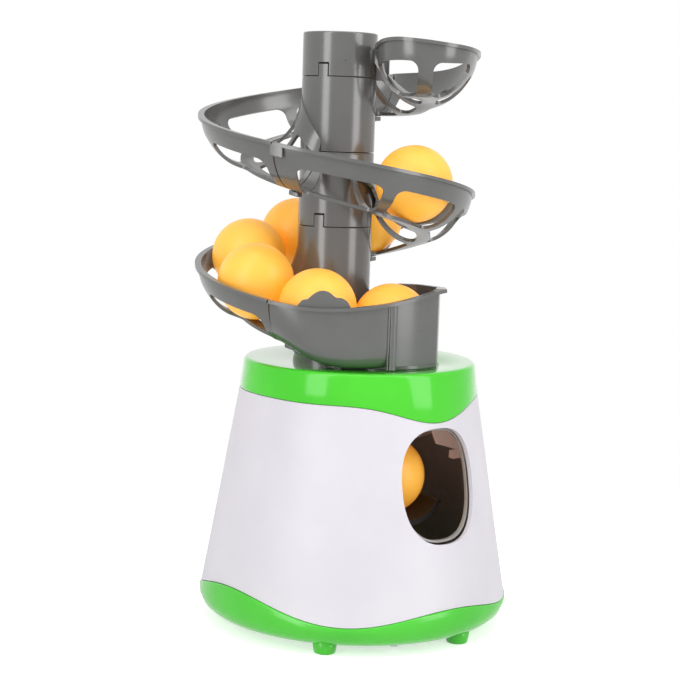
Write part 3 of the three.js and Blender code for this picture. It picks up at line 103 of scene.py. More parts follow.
class Wire:
    # an output socket of a node tree, so that shader maths reads as plain expressions
    def __init__(self, tree, socket=None):
        self.tree, self.socket = tree, socket

    def node(self, kind, sockets=None, out=0, **settings):
        made = self.tree.nodes.new("ShaderNode" + kind)
        for name, value in settings.items():
            setattr(made, name, value)
        for name, value in (sockets or {}).items():
            if isinstance(value, Wire):
                self.tree.links.new(value.socket, made.inputs[name])
            else:
                made.inputs[name].default_value = value
        return Wire(self.tree, made.outputs[out] if made.outputs else None)

    def output(self, name):
        return Wire(self.tree, self.socket.node.outputs[name])

    def maths(self, operation, a, b):
        return self.node("Math", {0: a, 1: b}, operation=operation)

    def __add__(self, other): return self.maths("ADD", self, other)
    def __radd__(self, other): return self.maths("ADD", other, self)
    def __sub__(self, other): return self.maths("SUBTRACT", self, other)
    def __rsub__(self, other): return self.maths("SUBTRACT", other, self)
    def __mul__(self, other): return self.maths("MULTIPLY", self, other)
    def __rmul__(self, other): return self.maths("MULTIPLY", other, self)

    def larger(self, other):
        return self.maths("MAXIMUM", self, other)

    def step(self, low, high):
        return self.node("MapRange", {"Value": self, "From Min": low, "From Max": high, "To Min": 0.0, "To Max": 1.0},
                         interpolation_type="SMOOTHSTEP")

    def blend(self, first, second):
        return self.node("Mix", {0: self, 6: first, 7: second}, out=2, data_type="RGBA")


def newMaterial(name):
    made = bpy.data.materials.new(name)
    made.use_nodes = True
    made.node_tree.nodes.clear()
    return made, Wire(made.node_tree)


surround = {"ambient": 0.36, "white": 1.0, "floor": 0.9, "floorHalf": 6, "fill": 0.6, "whiteFrom": 0.12,
            "whiteBy": 0.5}
whiteLight = (1, 1, 1, 1)


def floorPaint():
    # near the object it is a plain matt floor that takes the shadow, with a little fill, and further off it is white
    made, start = newMaterial("floorPaint")
    path = start.node("LightPath")
    direct = path.output("Is Camera Ray")
    mirrored = path.output("Is Glossy Ray").larger(path.output("Is Transmission Ray"))
    spot = start.node("TexCoord", out=3)
    far = start.node("VectorMath", {0: spot}, out=1, operation="LENGTH")
    far = far.step(surround["whiteFrom"], surround["whiteBy"])
    plain = start.node("BsdfDiffuse", {"Color": (*[surround["floor"]] * 3, 1)})
    fill = start.node("Emission", {"Color": whiteLight, "Strength": direct * surround["fill"]})
    near = start.node("AddShader", {0: plain, 1: fill})
    lit = start.node("Emission", {"Color": whiteLight, "Strength": 1.0})
    mixed = start.node("MixShader", {0: mirrored.larger(direct * far), 1: near, 2: lit})
    start.node("OutputMaterial", {"Surface": mixed})
    return made


def makeSurround():
    world = bpy.data.worlds.new("studio")
    bpy.context.scene.world = world
    world.use_nodes = True
    world.node_tree.nodes.clear()
    start = Wire(world.node_tree)
    path = start.node("LightPath")
    seen = path.output("Is Camera Ray").larger(path.output("Is Glossy Ray"))
    seen = seen.larger(path.output("Is Transmission Ray"))
    strength = seen * (surround["white"] - surround["ambient"]) + surround["ambient"]
    light = start.node("Background", {"Color": whiteLight, "Strength": strength})
    start.node("OutputWorld", {"Surface": light})
    data = bpy.data.meshes.new("floor")
    half = surround["floorHalf"]
    data.from_pydata([(-half, -half, 0), (half, -half, 0), (half, half, 0), (-half, half, 0)], [], [(0, 1, 2, 3)])
    floor = linked("floor", data)
    floor.data.materials.append(floorPaint())


bpy.context.scene.view_settings.view_transform = "Standard"
makeCamera()
makeLights()
makeSurround()
print("stage: camera, lights and floor")


mergeWithin = 1e-6      # metres


def makeObject(name, points, faces, bevel=0.0, segments=2, angle=38, thickness=0.0, weld=0.0):
    # points are in millimetres from the body's axis, with the floor at nought. A mesh is closed unless it is given a
    # thickness here
    data = bpy.data.meshes.new(name)
    places = (np.asarray(points, float) + (0, baseY, 0)) * mm
    data.from_pydata([tuple(p) for p in places], [], [tuple(int(i) for i in f) for f in faces])
    work = bmesh.new()
    work.from_mesh(data)
    bmesh.ops.remove_doubles(work, verts=work.verts, dist=mergeWithin)
    if not thickness:
        bmesh.ops.recalc_face_normals(work, faces=work.faces)
    work.to_mesh(data)
    work.free()
    data.polygons.foreach_set("use_smooth", [True] * len(data.polygons))
    data.update()
    made = linked(name, data)
    if weld:
        made.modifiers.new("join", "WELD").merge_threshold = weld * mm
    if thickness:
        wall = made.modifiers.new("wall", "SOLIDIFY")
        wall.thickness, wall.offset, wall.use_even_offset = thickness * mm, -1, True
    if bevel:
        edge = made.modifiers.new("edges", "BEVEL")
        edge.width, edge.segments, edge.limit_method = bevel * mm, segments, "ANGLE"
        edge.angle_limit, edge.harden_normals = math.radians(angle), True
    return made


def addPiece(look, name, mesh, *nodes, body="stand", **shape):
    # new piece that moves with a body and stands in for nodes of the part. Its look is a material and a slot, and the
    # slot is not used
    piece = makeObject(name, *mesh, **shape)
    material, slot = look
    piece.data.materials.append(material)
    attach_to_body(piece, body)
    if nodes:
        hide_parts(*nodes)


snap = {"passes": 5, "probe": 0.02, "flattest": 0.05, "most": 1}    # how the edge of an opening finds its outline


def sheet(acrossValues, alongValues, place, clearance=None, dropped=None):
    # grid of points over two parameters. Cells inside an opening go, and the edge that is left is pulled onto the
    # opening's outline. dropped says which cells go as they are
    a, b = np.meshgrid(np.asarray(acrossValues, float), np.asarray(alongValues, float), indexing="ij")
    rows, columns = a.shape
    index = np.arange(rows * columns).reshape(rows, columns)
    quads = np.stack([index[:-1, :-1], index[1:, :-1], index[1:, 1:], index[:-1, 1:]], -1).reshape(-1, 4)
    middles = (a[:-1, :-1] + a[1:, 1:]) / 2, (b[:-1, :-1] + b[1:, 1:]) / 2
    kept = np.ones(len(quads), bool)
    a, b = a.ravel(), b.ravel()
    if clearance is not None:
        kept = clearance(*middles).ravel() > 0
        lost, used = np.zeros(len(a), bool), np.zeros(len(a), bool)
        lost[quads[~kept].ravel()] = True
        used[quads[kept].ravel()] = True
        edge = np.flatnonzero(lost & used)
        h, most = snap["probe"], snap["most"]
        for _ in range(snap["passes"]):
            pa, pb = a[edge], b[edge]
            d = clearance(pa, pb)
            ga = (clearance(pa + h, pb) - clearance(pa - h, pb)) / (2 * h)
            gb = (clearance(pa, pb + h) - clearance(pa, pb - h)) / (2 * h)
            size = np.maximum(ga ** 2 + gb ** 2, snap["flattest"])
            a[edge] -= np.clip(d * ga / size, -most, most)
            b[edge] -= np.clip(d * gb / size, -most, most)
    if dropped is not None:
        kept &= ~dropped(*middles).ravel()
    quads = quads[kept]
    used = np.unique(quads)
    renumber = np.full(rows * columns, -1)
    renumber[used] = np.arange(len(used))
    return np.stack(place(a, b), -1)[used], renumber[quads]


def stopsFor(marks, step):
    # even stops no further apart than step, with every mark kept
    out = [marks[0]]
    for a, b in zip(marks[:-1], marks[1:]):
        count = max(1, math.ceil(abs(b - a) / step - 1e-6))
        out.extend(np.linspace(a, b, count + 1)[1:])
    return np.array(out)


def roundedHoles(boxes, radius):
    # distance to the nearest of some rounded rectangles, less than nought inside one
    def clearance(a, b):
        best = np.full(np.shape(a), np.inf)
        for a0, a1, b0, b1 in boxes:
            qa = np.abs(a - (a0 + a1) / 2) - (a1 - a0) / 2 + radius
            qb = np.abs(b - (b0 + b1) / 2) - (b1 - b0) / 2 + radius
            out = np.hypot(np.maximum(qa, 0), np.maximum(qb, 0)) + np.minimum(np.maximum(qa, qb), 0) - radius
            best = np.minimum(best, out)
        return best
    return clearance


def ringFaces(stations, around, closed=False):
    # faces of loops of the same length, joined one to the next. An open run has a face at both ends
    faces = []
    for i in range(stations if closed else stations - 1):
        n = (i + 1) % stations
        for j in range(around):
            k = (j + 1) % around
            faces.append((i * around + j, n * around + j, n * around + k, i * around + k))
    if not closed:
        faces.append(tuple(range(around)))
        faces.append(tuple(reversed(range((stations - 1) * around, stations * around))))
    return faces


def polar(radius, deg, cx=0.0, cy=0.0):
    t = np.radians(deg)
    return cx + radius * np.cos(t), cy + radius * np.sin(t)


def smooth(share):
    return share * share * (3 - 2 * share)


def roundCorner(before, corner, after, radius, steps):
    # points of a fillet between two straight runs, of which it takes up less than half
    b, c, a = (np.array(p, float) for p in (before, corner, after))
    u, v = (b - c) / np.linalg.norm(b - c), (a - c) / np.linalg.norm(a - c)
    half = math.acos(max(-1, min(1, float(u @ v)))) / 2
    back = min(radius / math.tan(half), np.linalg.norm(b - c) * 0.49, np.linalg.norm(a - c) * 0.49)
    p, q = c + u * back, c + v * back
    return [tuple((1 - t) ** 2 * p + 2 * t * (1 - t) * c + t ** 2 * q) for t in np.linspace(0, 1, steps + 1)]


def post(x, y, sides, *rings):
    # upright turned piece with closed ends. Each ring is a radius and a height
    points = [(*polar(r, 360 * i / sides, x, y), z) for r, z in rings for i in range(sides)]
    return points, ringFaces(len(rings), sides)


def square(a0, a1, b0, b1):
    return (a0, b0), (a1, b0), (a1, b1), (a0, b1)


def boxMesh(corners, low, high):
    # upright block on four corners
    points = [(*xy, z) for z in (low, high) for xy in corners]
    return points, [(0, 3, 2, 1), (4, 5, 6, 7), (0, 1, 5, 4), (1, 2, 6, 5), (2, 3, 7, 6), (3, 0, 4, 7)]


def joinMeshes(*parts):
    points, faces = [], []
    for p, f in parts:
        faces.extend([tuple(int(i) + len(points) for i in face) for face in f])
        points.extend([tuple(q) for q in p])
    return points, faces


def paint(red, green, blue):
    # a colour as seen on screen, turned into the renderer's own values
    def plain(c):
        c /= 255
        return c / 12.92 if c <= 0.04045 else ((c + 0.055) / 1.055) ** 2.4
    return (plain(red), plain(green), plain(blue), 1)


plainLook = {"driftScale": 22, "grainScale": 650, "peelScale": 90, "flow": (60, 60, 420), "flowTurn": (0.3, 0.5, 0.2),
             "patchScale": 14, "scuffTint": 0.25, "grainRough": 0.08, "scuffRough": 0.12, "driftRough": 0.05,
             "peel": 0.4, "grain": 0.25, "scuffDepth": 0.15, "bump": 0.12, "bumpDistance": 0.0004, "coat": 0.0,
             "coatFrom": 0.55, "coatBy": 0.9, "coatRoughness": 0.08, "metallic": 0.0, "ior": 1.5, "glow": None}


def moulded(name, colour, drifted, scuffed, roughness, **changes):
    # moulded plastic: faint colour drift, fine orange-peel, flow marks and light handling scuffs, and for some parts
    # a painted glow
    look = {**plainLook, **changes}
    made, start = newMaterial(name)
    spot = start.node("TexCoord", out=3)

    def noise(scale, detail, roughness=0.5, vector=spot):
        return start.node("TexNoise", {"Vector": vector, "Scale": scale, "Detail": detail, "Roughness": roughness})

    drift = noise(look["driftScale"], 3, 0.55)
    grain = noise(look["grainScale"], 4, 0.6)
    peel = noise(look["peelScale"], 2)
    flow = start.node("Mapping", {"Vector": spot, "Scale": look["flow"], "Rotation": look["flowTurn"]})
    worn = noise(1.0, 5, 0.7, flow).step(0.6, 0.74) * noise(look["patchScale"], 2).step(0.5, 0.66)
    shade = drift.step(0.32, 0.7).blend(paint(*colour), paint(*drifted))
    shade = (worn * look["scuffTint"]).blend(shade, paint(*scuffed))
    rough = (grain - 0.5) * look["grainRough"] + worn * look["scuffRough"] + (drift - 0.5) * look["driftRough"]
    height = peel * look["peel"] + grain * look["grain"] - worn * look["scuffDepth"]
    bump = start.node("Bump", {"Strength": look["bump"], "Distance": look["bumpDistance"], "Height": height})
    coat = look["coat"]
    if coat:
        # a polished top that shows its gloss only where it is seen at a low angle
        facing = start.node("LayerWeight", {"Blend": 0.5}, out=1)
        coat = facing.step(look["coatFrom"], look["coatBy"]) * coat
    # painted glow: an emission that brightens the part where it is in shade, though the part is no lamp
    glow = {"Emission Color": paint(*look["glow"]), "Emission Strength": look["glowStrength"]} if look["glow"] else {}
    shader = start.node("BsdfPrincipled", {
        "Base Color": shade, "Roughness": rough + roughness, "Normal": bump, "Metallic": look["metallic"],
        "IOR": look["ior"], "Coat Weight": coat, "Coat Roughness": look["coatRoughness"], **glow})
    start.node("OutputMaterial", {"Surface": shader})
    return made


greyPlastic = moulded("greyPlastic", (97, 97, 95), (89, 89, 88), (130, 130, 128), 0.2, ior=1.75, peel=0.5, bump=0.1)
whitePlastic = moulded("whitePlastic", (224, 220, 227), (219, 215, 223), (208, 204, 211), 0.42, bump=0.06)
greenPlastic = moulded("greenPlastic", (80, 216, 46), (72, 208, 40), (120, 228, 96), 0.12, ior=1.42, coat=1.0,
                       peel=0.3, bump=0.05)
panPlastic = moulded("panPlastic", (80, 206, 54), (72, 198, 48), (124, 222, 104), 0.2, bump=0.06)
# the balls carry a painted glow: orange emission that brightens and warms them where they are in shade
ballPlastic = moulded("ballPlastic", (255, 208, 92), (255, 200, 80), (255, 216, 124), 0.42, grainScale=1500,
                      bump=0.05, glow=(255, 142, 22), glowStrength=0.3)
darkPlastic = moulded("darkPlastic", (52, 49, 48), (44, 42, 41), (84, 82, 80), 0.42, bump=0.2)
chutePlastic = moulded("chutePlastic", (122, 92, 76), (112, 84, 68), (140, 124, 114), 0.3, bump=0.1)
# the chute's wing has a painted glow: emission that lights it inside the shaded launch opening
wingPlasticPaintedGlow = moulded("wingPlasticPaintedGlow", (176, 158, 150), (164, 146, 138), (190, 176, 168), 0.35, bump=0.1,
                      glow=(168, 136, 124), glowStrength=0.42)
cradlePlastic = moulded("cradlePlastic", (24, 21, 20), (20, 18, 17), (36, 32, 30), 0.6, bump=0.1)
linerPlastic = moulded("linerPlastic", (164, 160, 156), (156, 152, 148), (176, 172, 168), 0.25, bump=0.1)
gearPlastic = moulded("gearPlastic", (226, 222, 208), (218, 213, 198), (190, 186, 172), 0.42, bump=0.15)
steelMetal = moulded("steelMetal", (176, 178, 182), (160, 162, 168), (198, 198, 198), 0.3, metallic=1.0,
                     flow=(30, 900, 900), scuffTint=0.5)
rubber = moulded("rubber", (38, 37, 37), (32, 31, 31), (66, 64, 62), 0.78, grainScale=1200, bump=0.35)
cellSleeve = moulded("cellSleeve", (44, 92, 156), (38, 84, 146), (110, 140, 180), 0.28, metallic=0.2)

# each look: its material and its slot; a piece is given only the material
grey, white, green = (greyPlastic, "grey_plastic"), (whitePlastic, "white_plastic"), (greenPlastic, "green_plastic")
panGreen, orange = (panPlastic, "green_plastic"), (ballPlastic, "ball_plastic")
lining, paintedGlowWing = (linerPlastic, "dark_plastic"), (wingPlasticPaintedGlow, "dark_plastic")
print("stage: finishes")


track = {"axisY": 24.7, "pitch": 78, "turn": 180, "jointAngle": 26, "jointRim": 212, "rimAboveSeam": 4.8,
         "lipReach": 73.95, "outer": 70.6, "path": 47.6, "depth": 22.5, "arcLength": 35.7, "innerArc": 35,
         "attachRadius": 19.5, "bend": 21.5, "bendRise": 9.1, "bendLength": 29.4, "wall": 1.8, "spine": 3.4,
         "windows": 4, "windowFrom": 9, "windowLong": 37.5, "windowPitch": 43, "windowTop": 9.9, "windowEnd": 66.7,
         "corner": 4.6, "gap": 0.3, "angleStep": 1.4, "alongStep": 1.5, "edge": 0.5}
bendFrom = track["arcLength"] * (1 + track["innerArc"] / 90)    # measured down the trough's inner face from the rim
netEnd = bendFrom + track["bendLength"]
lipOut = track["outer"] - track["lipReach"]
attach = {"low": -5.2, "climb": 6.2, "arch": 13.5, "archPower": 0.8, "underTop": 0.45}
column = {"radius": 19.6, "wall": 2, "top": 308.2, "seam": 0.3, "tabHalf": 8, "tabRise": 6.4, "notchSide": 0.9,
          "notchTop": 0.35, "angleStep": 4, "heightStep": 6, "capDeep": 2.2, "underCap": 0.6, "edge": 0.3,
          "topEdge": 0.9, "topSides": 96, "gateAngle": 240.4, "gateHeight": 294}
lug = {"clipBefore": 2.2, "clipPast": 3.6, "clipInner": 44.6, "clipOuter": 50.6, "clipLow": 2.6, "clipTop": 0.3,
       "sleeveBefore": 0.9, "sleevePast": 4.6, "sleeveInner": 72.4, "sleeveOuter": 74, "sleeveLow": 6.8,
       "sleeveTop": 0.9, "steps": 4, "edge": 0.35}
gate = {"wide": 0.75, "proud": 0.25, "deep": 0.5, "taper": 0.6, "sides": 16}


def rimZ(deg):
    return track["jointRim"] - track["pitch"] * (deg - track["jointAngle"]) / 360


def seamZ(k):
    return track["jointRim"] - track["rimAboveSeam"] - k * track["pitch"] / 2


def roundTrack(radius, deg):
    return polar(radius, deg, 0, track["axisY"])


def plainDepth(deg):
    return np.full(np.shape(deg), float(track["depth"]))


def plainPower(deg):
    return np.full(np.shape(deg), 2.0)


def troughPlace(rim, depth, power, attachAt):
    # place of a point of the trough's inner face: deg round the column, v millimetres down from the rim and up to
    # the column
    def place(deg, v):
        reach = track["outer"] - track["path"]
        low = math.radians(track["innerArc"])
        t = np.maximum(math.pi / 2 * (1 - v / track["arcLength"]), -low)
        s, c = np.sin(t), np.abs(np.cos(t))
        share = 2 / np.where(t > 0, power(deg), 2.0)
        d = depth(deg)
        r = np.where(v < 0, track["outer"] - v, track["path"] + np.sign(s) * reach * np.abs(s) ** share)
        z = np.where(v < 0, 0, -d * c ** share)
        u = np.clip((v - bendFrom) / track["bendLength"], 0, 1)
        r0, z0 = track["path"] - reach * math.sin(low), -d * math.cos(low)
        rUp = (1 - u) ** 2 * r0 + 2 * u * (1 - u) * track["bend"] + u ** 2 * track["attachRadius"]
        zUp = (1 - u) ** 2 * z0 + 2 * u * (1 - u) * (z0 + track["bendRise"]) + u ** 2 * attachAt(deg)
        r, z = np.where(v > bendFrom, rUp, r), np.where(v > bendFrom, zUp, z)
        return *roundTrack(r, deg), rim(deg) + z
    return place


def troughSheet(start, top):
    # half a turn of track, with windows above and below its spine
    def attachAt(deg):
        share = np.clip((deg - start) / track["turn"], 0, 1)
        arch = attach["arch"] * np.sin(math.pi * share) ** attach["archPower"]
        return np.minimum(attach["low"] + attach["climb"] * share + arch, top - attach["underTop"] - rimZ(deg))

    middle, spine = track["arcLength"], track["spine"]
    rows = [lipOut, 0, track["windowTop"], middle - spine, middle + spine, track["windowEnd"], netEnd]
    firsts = [start + track["windowFrom"] + i * track["windowPitch"] for i in range(track["windows"])]
    windows = [(a, a + track["windowLong"]) for a in firsts]
    marks = [start + track["gap"], *[a for pair in windows for a in pair], start + track["turn"] - track["gap"]]
    boxes = [(*pair, *span) for pair in windows for span in (rows[2:4], rows[4:6])]
    return sheet(stopsFor(marks, track["angleStep"]), stopsFor(rows, track["alongStep"]),
                 troughPlace(rimZ, plainDepth, plainPower, attachAt), roundedHoles(boxes, track["corner"]))


def columnSheet(low, high, lowTab, highTab):
    # wall of a column section. A tab on its upper edge fits the notch in the next section's lower edge
    half, notch = column["tabHalf"], low + column["tabRise"] + column["notchTop"]
    sides = {0.0, 360.0}
    for tab, grow in ((lowTab, column["notchSide"]), (highTab, 0)):
        if tab is not None:
            sides |= {(tab - half - grow) % 360, (tab + half + grow) % 360}
    heights = [low, notch, high] + ([high + column["tabRise"]] if highTab is not None else [])

    def away(a, tab):
        return np.abs((a - tab + 180) % 360 - 180)

    def dropped(a, z):
        gone = np.zeros(np.shape(a), bool)
        if lowTab is not None:
            gone |= (away(a, lowTab) < half + column["notchSide"]) & (z < notch)
        if highTab is not None:
            gone |= (away(a, highTab) > half) & (z > high)
        return gone

    def place(a, z):
        return *roundTrack(column["radius"], a), z

    return sheet(stopsFor(sorted(sides), column["angleStep"]), stopsFor(heights, column["heightStep"]), place,
                 dropped=dropped)


def arcBar(a0, a1, r0, r1, low, high, steps):
    # bar that follows the track between two angles. low and high give z from the angle
    points = []
    for deg in np.linspace(a0, a1, steps + 1):
        points += [(*roundTrack(r, deg), z) for r, z in square(r0, r1, low(deg), high(deg))]
    return points, ringFaces(steps + 1, 4)


def lugMesh(end, rim, sleeve=True):
    # clip under the end of a section, and the sleeve that reaches over the start of the next one
    def below(drop):
        return lambda deg: rim(deg) - drop

    under = track["depth"] + track["wall"]
    clip = arcBar(end - lug["clipBefore"], end + lug["clipPast"], lug["clipInner"], lug["clipOuter"],
                  below(under + lug["clipLow"]), below(under + lug["clipTop"]), lug["steps"])
    if not sleeve:
        return clip
    over = arcBar(end - lug["sleeveBefore"], end + lug["sleevePast"], lug["sleeveInner"], lug["sleeveOuter"],
                  below(lug["sleeveLow"]), below(lug["sleeveTop"]), lug["steps"])
    return joinMeshes(over, clip)


def finishTrack(name, sheetMesh, columnMesh, lugs, node):
    addPiece(grey, name + "Wall", sheetMesh, node, bevel=track["edge"], thickness=track["wall"])
    addPiece(grey, name + "Column", columnMesh, bevel=column["edge"], thickness=column["wall"])
    addPiece(grey, name + "Lugs", lugs, bevel=lug["edge"])


def gateMark(radius, deg, height):
    # small round stub left by the mould's gate
    points = []
    x, y = polar(1, deg)
    for out, wide in ((-gate["deep"], gate["wide"]), (gate["proud"] * gate["taper"], gate["wide"]),
                      (gate["proud"], gate["wide"] * gate["taper"])):
        for i in range(gate["sides"]):
            side, rise = polar(wide, 360 * i / gate["sides"])
            far = radius + out
            points.append((far * x - side * y, track["axisY"] + far * y + side * x, height + rise))
    return points, ringFaces(3, gate["sides"])


def along(table, share):
    # smooth curve through a table of pairs
    xs, ys = np.array(table, float).T
    slopes = np.gradient(ys, xs)
    share = np.clip(share, xs[0], xs[-1])
    i = np.clip(np.searchsorted(xs, share, side="right") - 1, 0, len(xs) - 2)
    gap = xs[i + 1] - xs[i]
    t = (share - xs[i]) / gap
    return ((2 * t ** 3 - 3 * t ** 2 + 1) * ys[i] + (t ** 3 - 2 * t ** 2 + t) * gap * slopes[i]
            + (3 * t ** 2 - 2 * t ** 3) * ys[i + 1] + (t ** 3 - t ** 2) * gap * slopes[i + 1])


scoop = {"turn": 87, "rise": 11.4, "riseAt": ((0, 0), (0.345, 0.2), (0.747, 0.84), (1, 1)), "extraDepth": 2.2,
         "windowTop": 11.2, "windows": ((11, 31), (37, 57), (63, 82.6)), "attachLow": 5.8, "attachHigh": 13.5,
         "attachTurn": 90}
bowl = {"turn": 178, "ratio": 3.05, "rise": 3.9, "narrow": 0.11, "power": 2.5, "powerGain": 3, "shift": 2.4,
        "riseAt": ((0, 0), (0.25, 0.44), (0.42, 0.8), (0.58, 1), (0.71, 0.75), (0.8, 0.3), (1, 0)),
        "shiftAngle": 141, "step": 0.7, "rib": 66, "ribHalf": 3.5, "strip": 4.2, "windowTop": 7.2,
        "windowLow": 29.6, "windowPast": 5.5, "corner": 4.2}
web = {"angle": 312, "from": 19, "to": 26.5, "half": 0.9, "low": 284, "high": 300.6, "edge": 0.3}


def buildScoop():
    # top section: a stretch of track that ends in a bowl, whose wall swings back round the middle of the trough
    end = track["jointAngle"] - 360
    start = end - scoop["turn"]
    bottom = seamZ(-2)

    def past(deg):
        return np.clip((end - deg) / scoop["turn"], 0, 1)

    def swing(deg):
        return np.maximum(0, (start - deg) * bowl["ratio"] / bowl["turn"])

    def rim(deg):
        climb = rimZ(end) + scoop["rise"] * along(scoop["riseAt"], past(deg))
        return np.where(deg < end, climb, rimZ(deg)) + bowl["rise"] * along(bowl["riseAt"], swing(deg))

    def depth(deg):
        sunk = scoop["extraDepth"] * np.sin(math.pi / 2 * past(deg))
        return track["depth"] + sunk + bowl["rise"] * along(bowl["riseAt"], swing(deg))

    def power(deg):
        return 2 + (bowl["power"] - 2) * np.clip(swing(deg) * bowl["powerGain"], 0, 1)

    def attachAt(deg):
        low, high = scoop["attachLow"], scoop["attachHigh"]
        return bottom + low + (high - low) * np.clip((end - deg) / scoop["attachTurn"], 0, 1) - rim(deg)

    straight = troughPlace(rim, depth, power, attachAt)
    cx, cy = roundTrack(track["path"], start)
    sideX, sideY = polar(bowl["shift"], bowl["shiftAngle"])
    middle, spine = track["arcLength"], track["spine"]

    def place(deg, v):
        x, y, z = straight(deg, v)
        share = swing(deg)
        out = (np.hypot(x, y - track["axisY"]) - track["path"]) * (1 - bowl["narrow"] * share)
        turnedX, turnedY = polar(out, start - share * bowl["turn"], cx, cy)
        moved = smooth(share)
        return np.where(share > 0, turnedX + sideX * moved, x), np.where(share > 0, turnedY + sideY * moved, y), z

    rows = [lipOut, 0, scoop["windowTop"], middle - spine, middle, middle + spine, track["windowEnd"], netEnd]
    windows = [(start + p, start + q) for p, q in scoop["windows"]]
    holes = roundedHoles([(*pair, *span) for pair in windows for span in (rows[2:4], rows[5:7])], track["corner"])

    def allHoles(deg, v):
        # the bowl's two windows have a rib of even width between them, which runs straight down
        turned = (start - deg) * bowl["ratio"]
        out = np.clip(np.sin(math.pi / 2 * (1 - v / middle)), 0, 1) ** (2 / bowl["power"])
        out = out * (track["outer"] - track["path"])
        fromRib = out * np.sin(np.radians(np.clip(turned - bowl["rib"], -90, 90)))
        fromEnd = out * np.sin(np.radians(np.clip(bowl["turn"] - turned, 0, 90)))
        best = holes(deg, v)
        for sides in ((bowl["ribHalf"] - fromRib, bowl["strip"] - fromEnd),
                      (bowl["ribHalf"] + fromRib, deg - start - bowl["windowPast"])):
            q = [d + bowl["corner"] for d in (*sides, bowl["windowTop"] - v, v - bowl["windowLow"])]
            over = np.sqrt(sum(np.maximum(d, 0) ** 2 for d in q))
            best = np.minimum(best, over + np.minimum(np.maximum.reduce(q), 0) - bowl["corner"])
        return best

    def underBowl(deg, v):
        return (deg < start) & (v > middle)

    marks = [start, *[a for pair in windows for a in pair], end - track["gap"]]
    degs = np.concatenate([stopsFor([start - bowl["turn"] / bowl["ratio"], start], bowl["step"]),
                           stopsFor(marks, track["angleStep"])[1:]])
    wallMesh = sheet(degs, stopsFor(rows, track["alongStep"]), place, allHoles, underBowl)
    columnMesh = columnSheet(bottom + column["seam"] / 2, column["top"] - column["underCap"], (end + 180) % 360, None)
    top = post(0, track["axisY"], column["topSides"], (column["radius"], column["top"] - column["capDeep"]),
               (column["radius"], column["top"]))
    addPiece(grey, "columnCap", top, bevel=column["topEdge"], segments=3)
    addPiece(grey, "columnMark", gateMark(column["radius"], column["gateAngle"], column["gateHeight"]))
    turn = math.degrees(web["half"] / web["to"])
    bar = arcBar(web["angle"] - turn, web["angle"] + turn, web["from"], web["to"],
                 lambda deg: web["low"], lambda deg: web["high"], 1)
    addPiece(grey, "scoopWeb", bar, bevel=web["edge"])
    finishTrack("scoop", wallMesh, columnMesh, lugMesh(end, rim), "tower_start")


def buildTower():
    for k, letter in ((-2, "A"), (-1, "B"), (0, "C")):
        start, half = track["jointAngle"] + k * track["turn"], column["seam"] / 2
        top, bottom = seamZ(k), seamZ(k + 1)
        columnMesh = columnSheet(bottom + half, top - half, start % 360, (start + 180) % 360)
        finishTrack("section" + letter, troughSheet(start, top), columnMesh,
                    lugMesh(start + track["turn"], rimZ, k < 0), "tower_module_" + letter.lower())
    buildScoop()
    print("stage: tower")


tray = {"start": 206, "end": 277, "squareFrom": 203, "squareTo": 245, "power": 10, "floorLow": 141.2, "sink": 3.4,
        "rim": ((206, 173), (212, 171.9), (219, 170.8), (228, 170.3), (236, 170.6), (244, 171.5), (252, 172.7),
                (261, 174.4), (271, 176.8), (277, 178.3)),
        "sinkFrom": 211, "sinkTo": 231, "levelFrom": 223, "wallFrom": 256.6, "attachDrop": 1.3, "alongStep": 0.9,
        "bottom": 139.3, "wall": 1.8, "trimEdge": 0.25, "gateAngle": 269, "gateHeight": 159.2}
outlet = {"angle": 272, "ball": 160.3, "ballBelow": 1.5, "ballDrop": 21, "y": -23, "radius": 22.3, "flange": 25.3,
          "spigotOuter": 23.7, "spigotLow": 132}
trayBox = {"wallSteps": 12, "cornerSteps": 6, "lipDeep": 3, "rimZ": (178.3, 179.4, 177.8, 177.4, 177.2, 172.6),
           "inner": ((8.6, -45.37), (11.7, -45.2), (29.3, -26.3), (32.2, -7.3), (25.7, 0.7), (14.4, 13.2)),
           "lip": ((9.02, -48.75), (15.1, -50), (33, -28.5), (35.4, -6.6), (28, 3.1), (16.6, 15.4)),
           "innerRound": (0, 1.6, 6, 7, 8, 0), "lipRound": (0, 0.8, 7, 8, 9, 0),
           "floor": ((-3, -46.6), (9, -47), (12.3, -46.9), (30.8, -26.9), (33.9, -7), (27, 2), (16, 14), (0, 20),
                     (-4, 0))}
badge = {"start": 217, "wide": 22.8, "rise": 8.5, "root": 5, "inner": 69.3, "outer": 71.1, "steps": 61,
         "shape": ((0, -0.176), (0.11, 0.329), (0.219, 0.471), (0.307, 0.753), (0.417, 0.965), (0.504, 1),
                   (0.614, 0.871), (0.702, 0.635), (0.833, 0.541), (0.921, 0.329), (1, -0.118))}
trayRib = {"angle": 257.2, "half": 1.75, "root": 71.6, "reach": 73.6, "points": 13, "below": 1, "edge": 0.2,
           "fin": 254.9, "finHalf": 0.3, "finReach": 73}
trayClip = {"from": 209.5, "to": 214.5, "low": 5, "top": 2}


def rayReach(cx, cy, angle, outline):
    # how far a ray from a point inside runs before it leaves the outline
    dx, dy = math.cos(angle), math.sin(angle)
    best = 0
    for (x0, y0), (x1, y1) in zip(outline, outline[1:] + outline[:1]):
        ex, ey = x1 - x0, y1 - y0
        cross = dx * ey - dy * ex
        if abs(cross) > 1e-9:
            t = ((x0 - cx) * ey - (y0 - cy) * ex) / cross
            u = ((x0 - cx) * dy - (y0 - cy) * dx) / cross
            if t > 0 and -1e-6 <= u <= 1 + 1e-6:
                best = max(best, t)
    return best


def outletPlate(reach, low, high, sides=120):
    # flat plate round the outlet's hole. reach(angle) gives its outer edge
    points = []
    for i in range(sides):
        t = 2 * math.pi * i / sides
        far = reach(t)
        for r, z in square(outlet["radius"], far, low, high):
            points.append((r * math.cos(t), outlet["y"] + r * math.sin(t), z))
    return points, ringFaces(sides, 4, True)


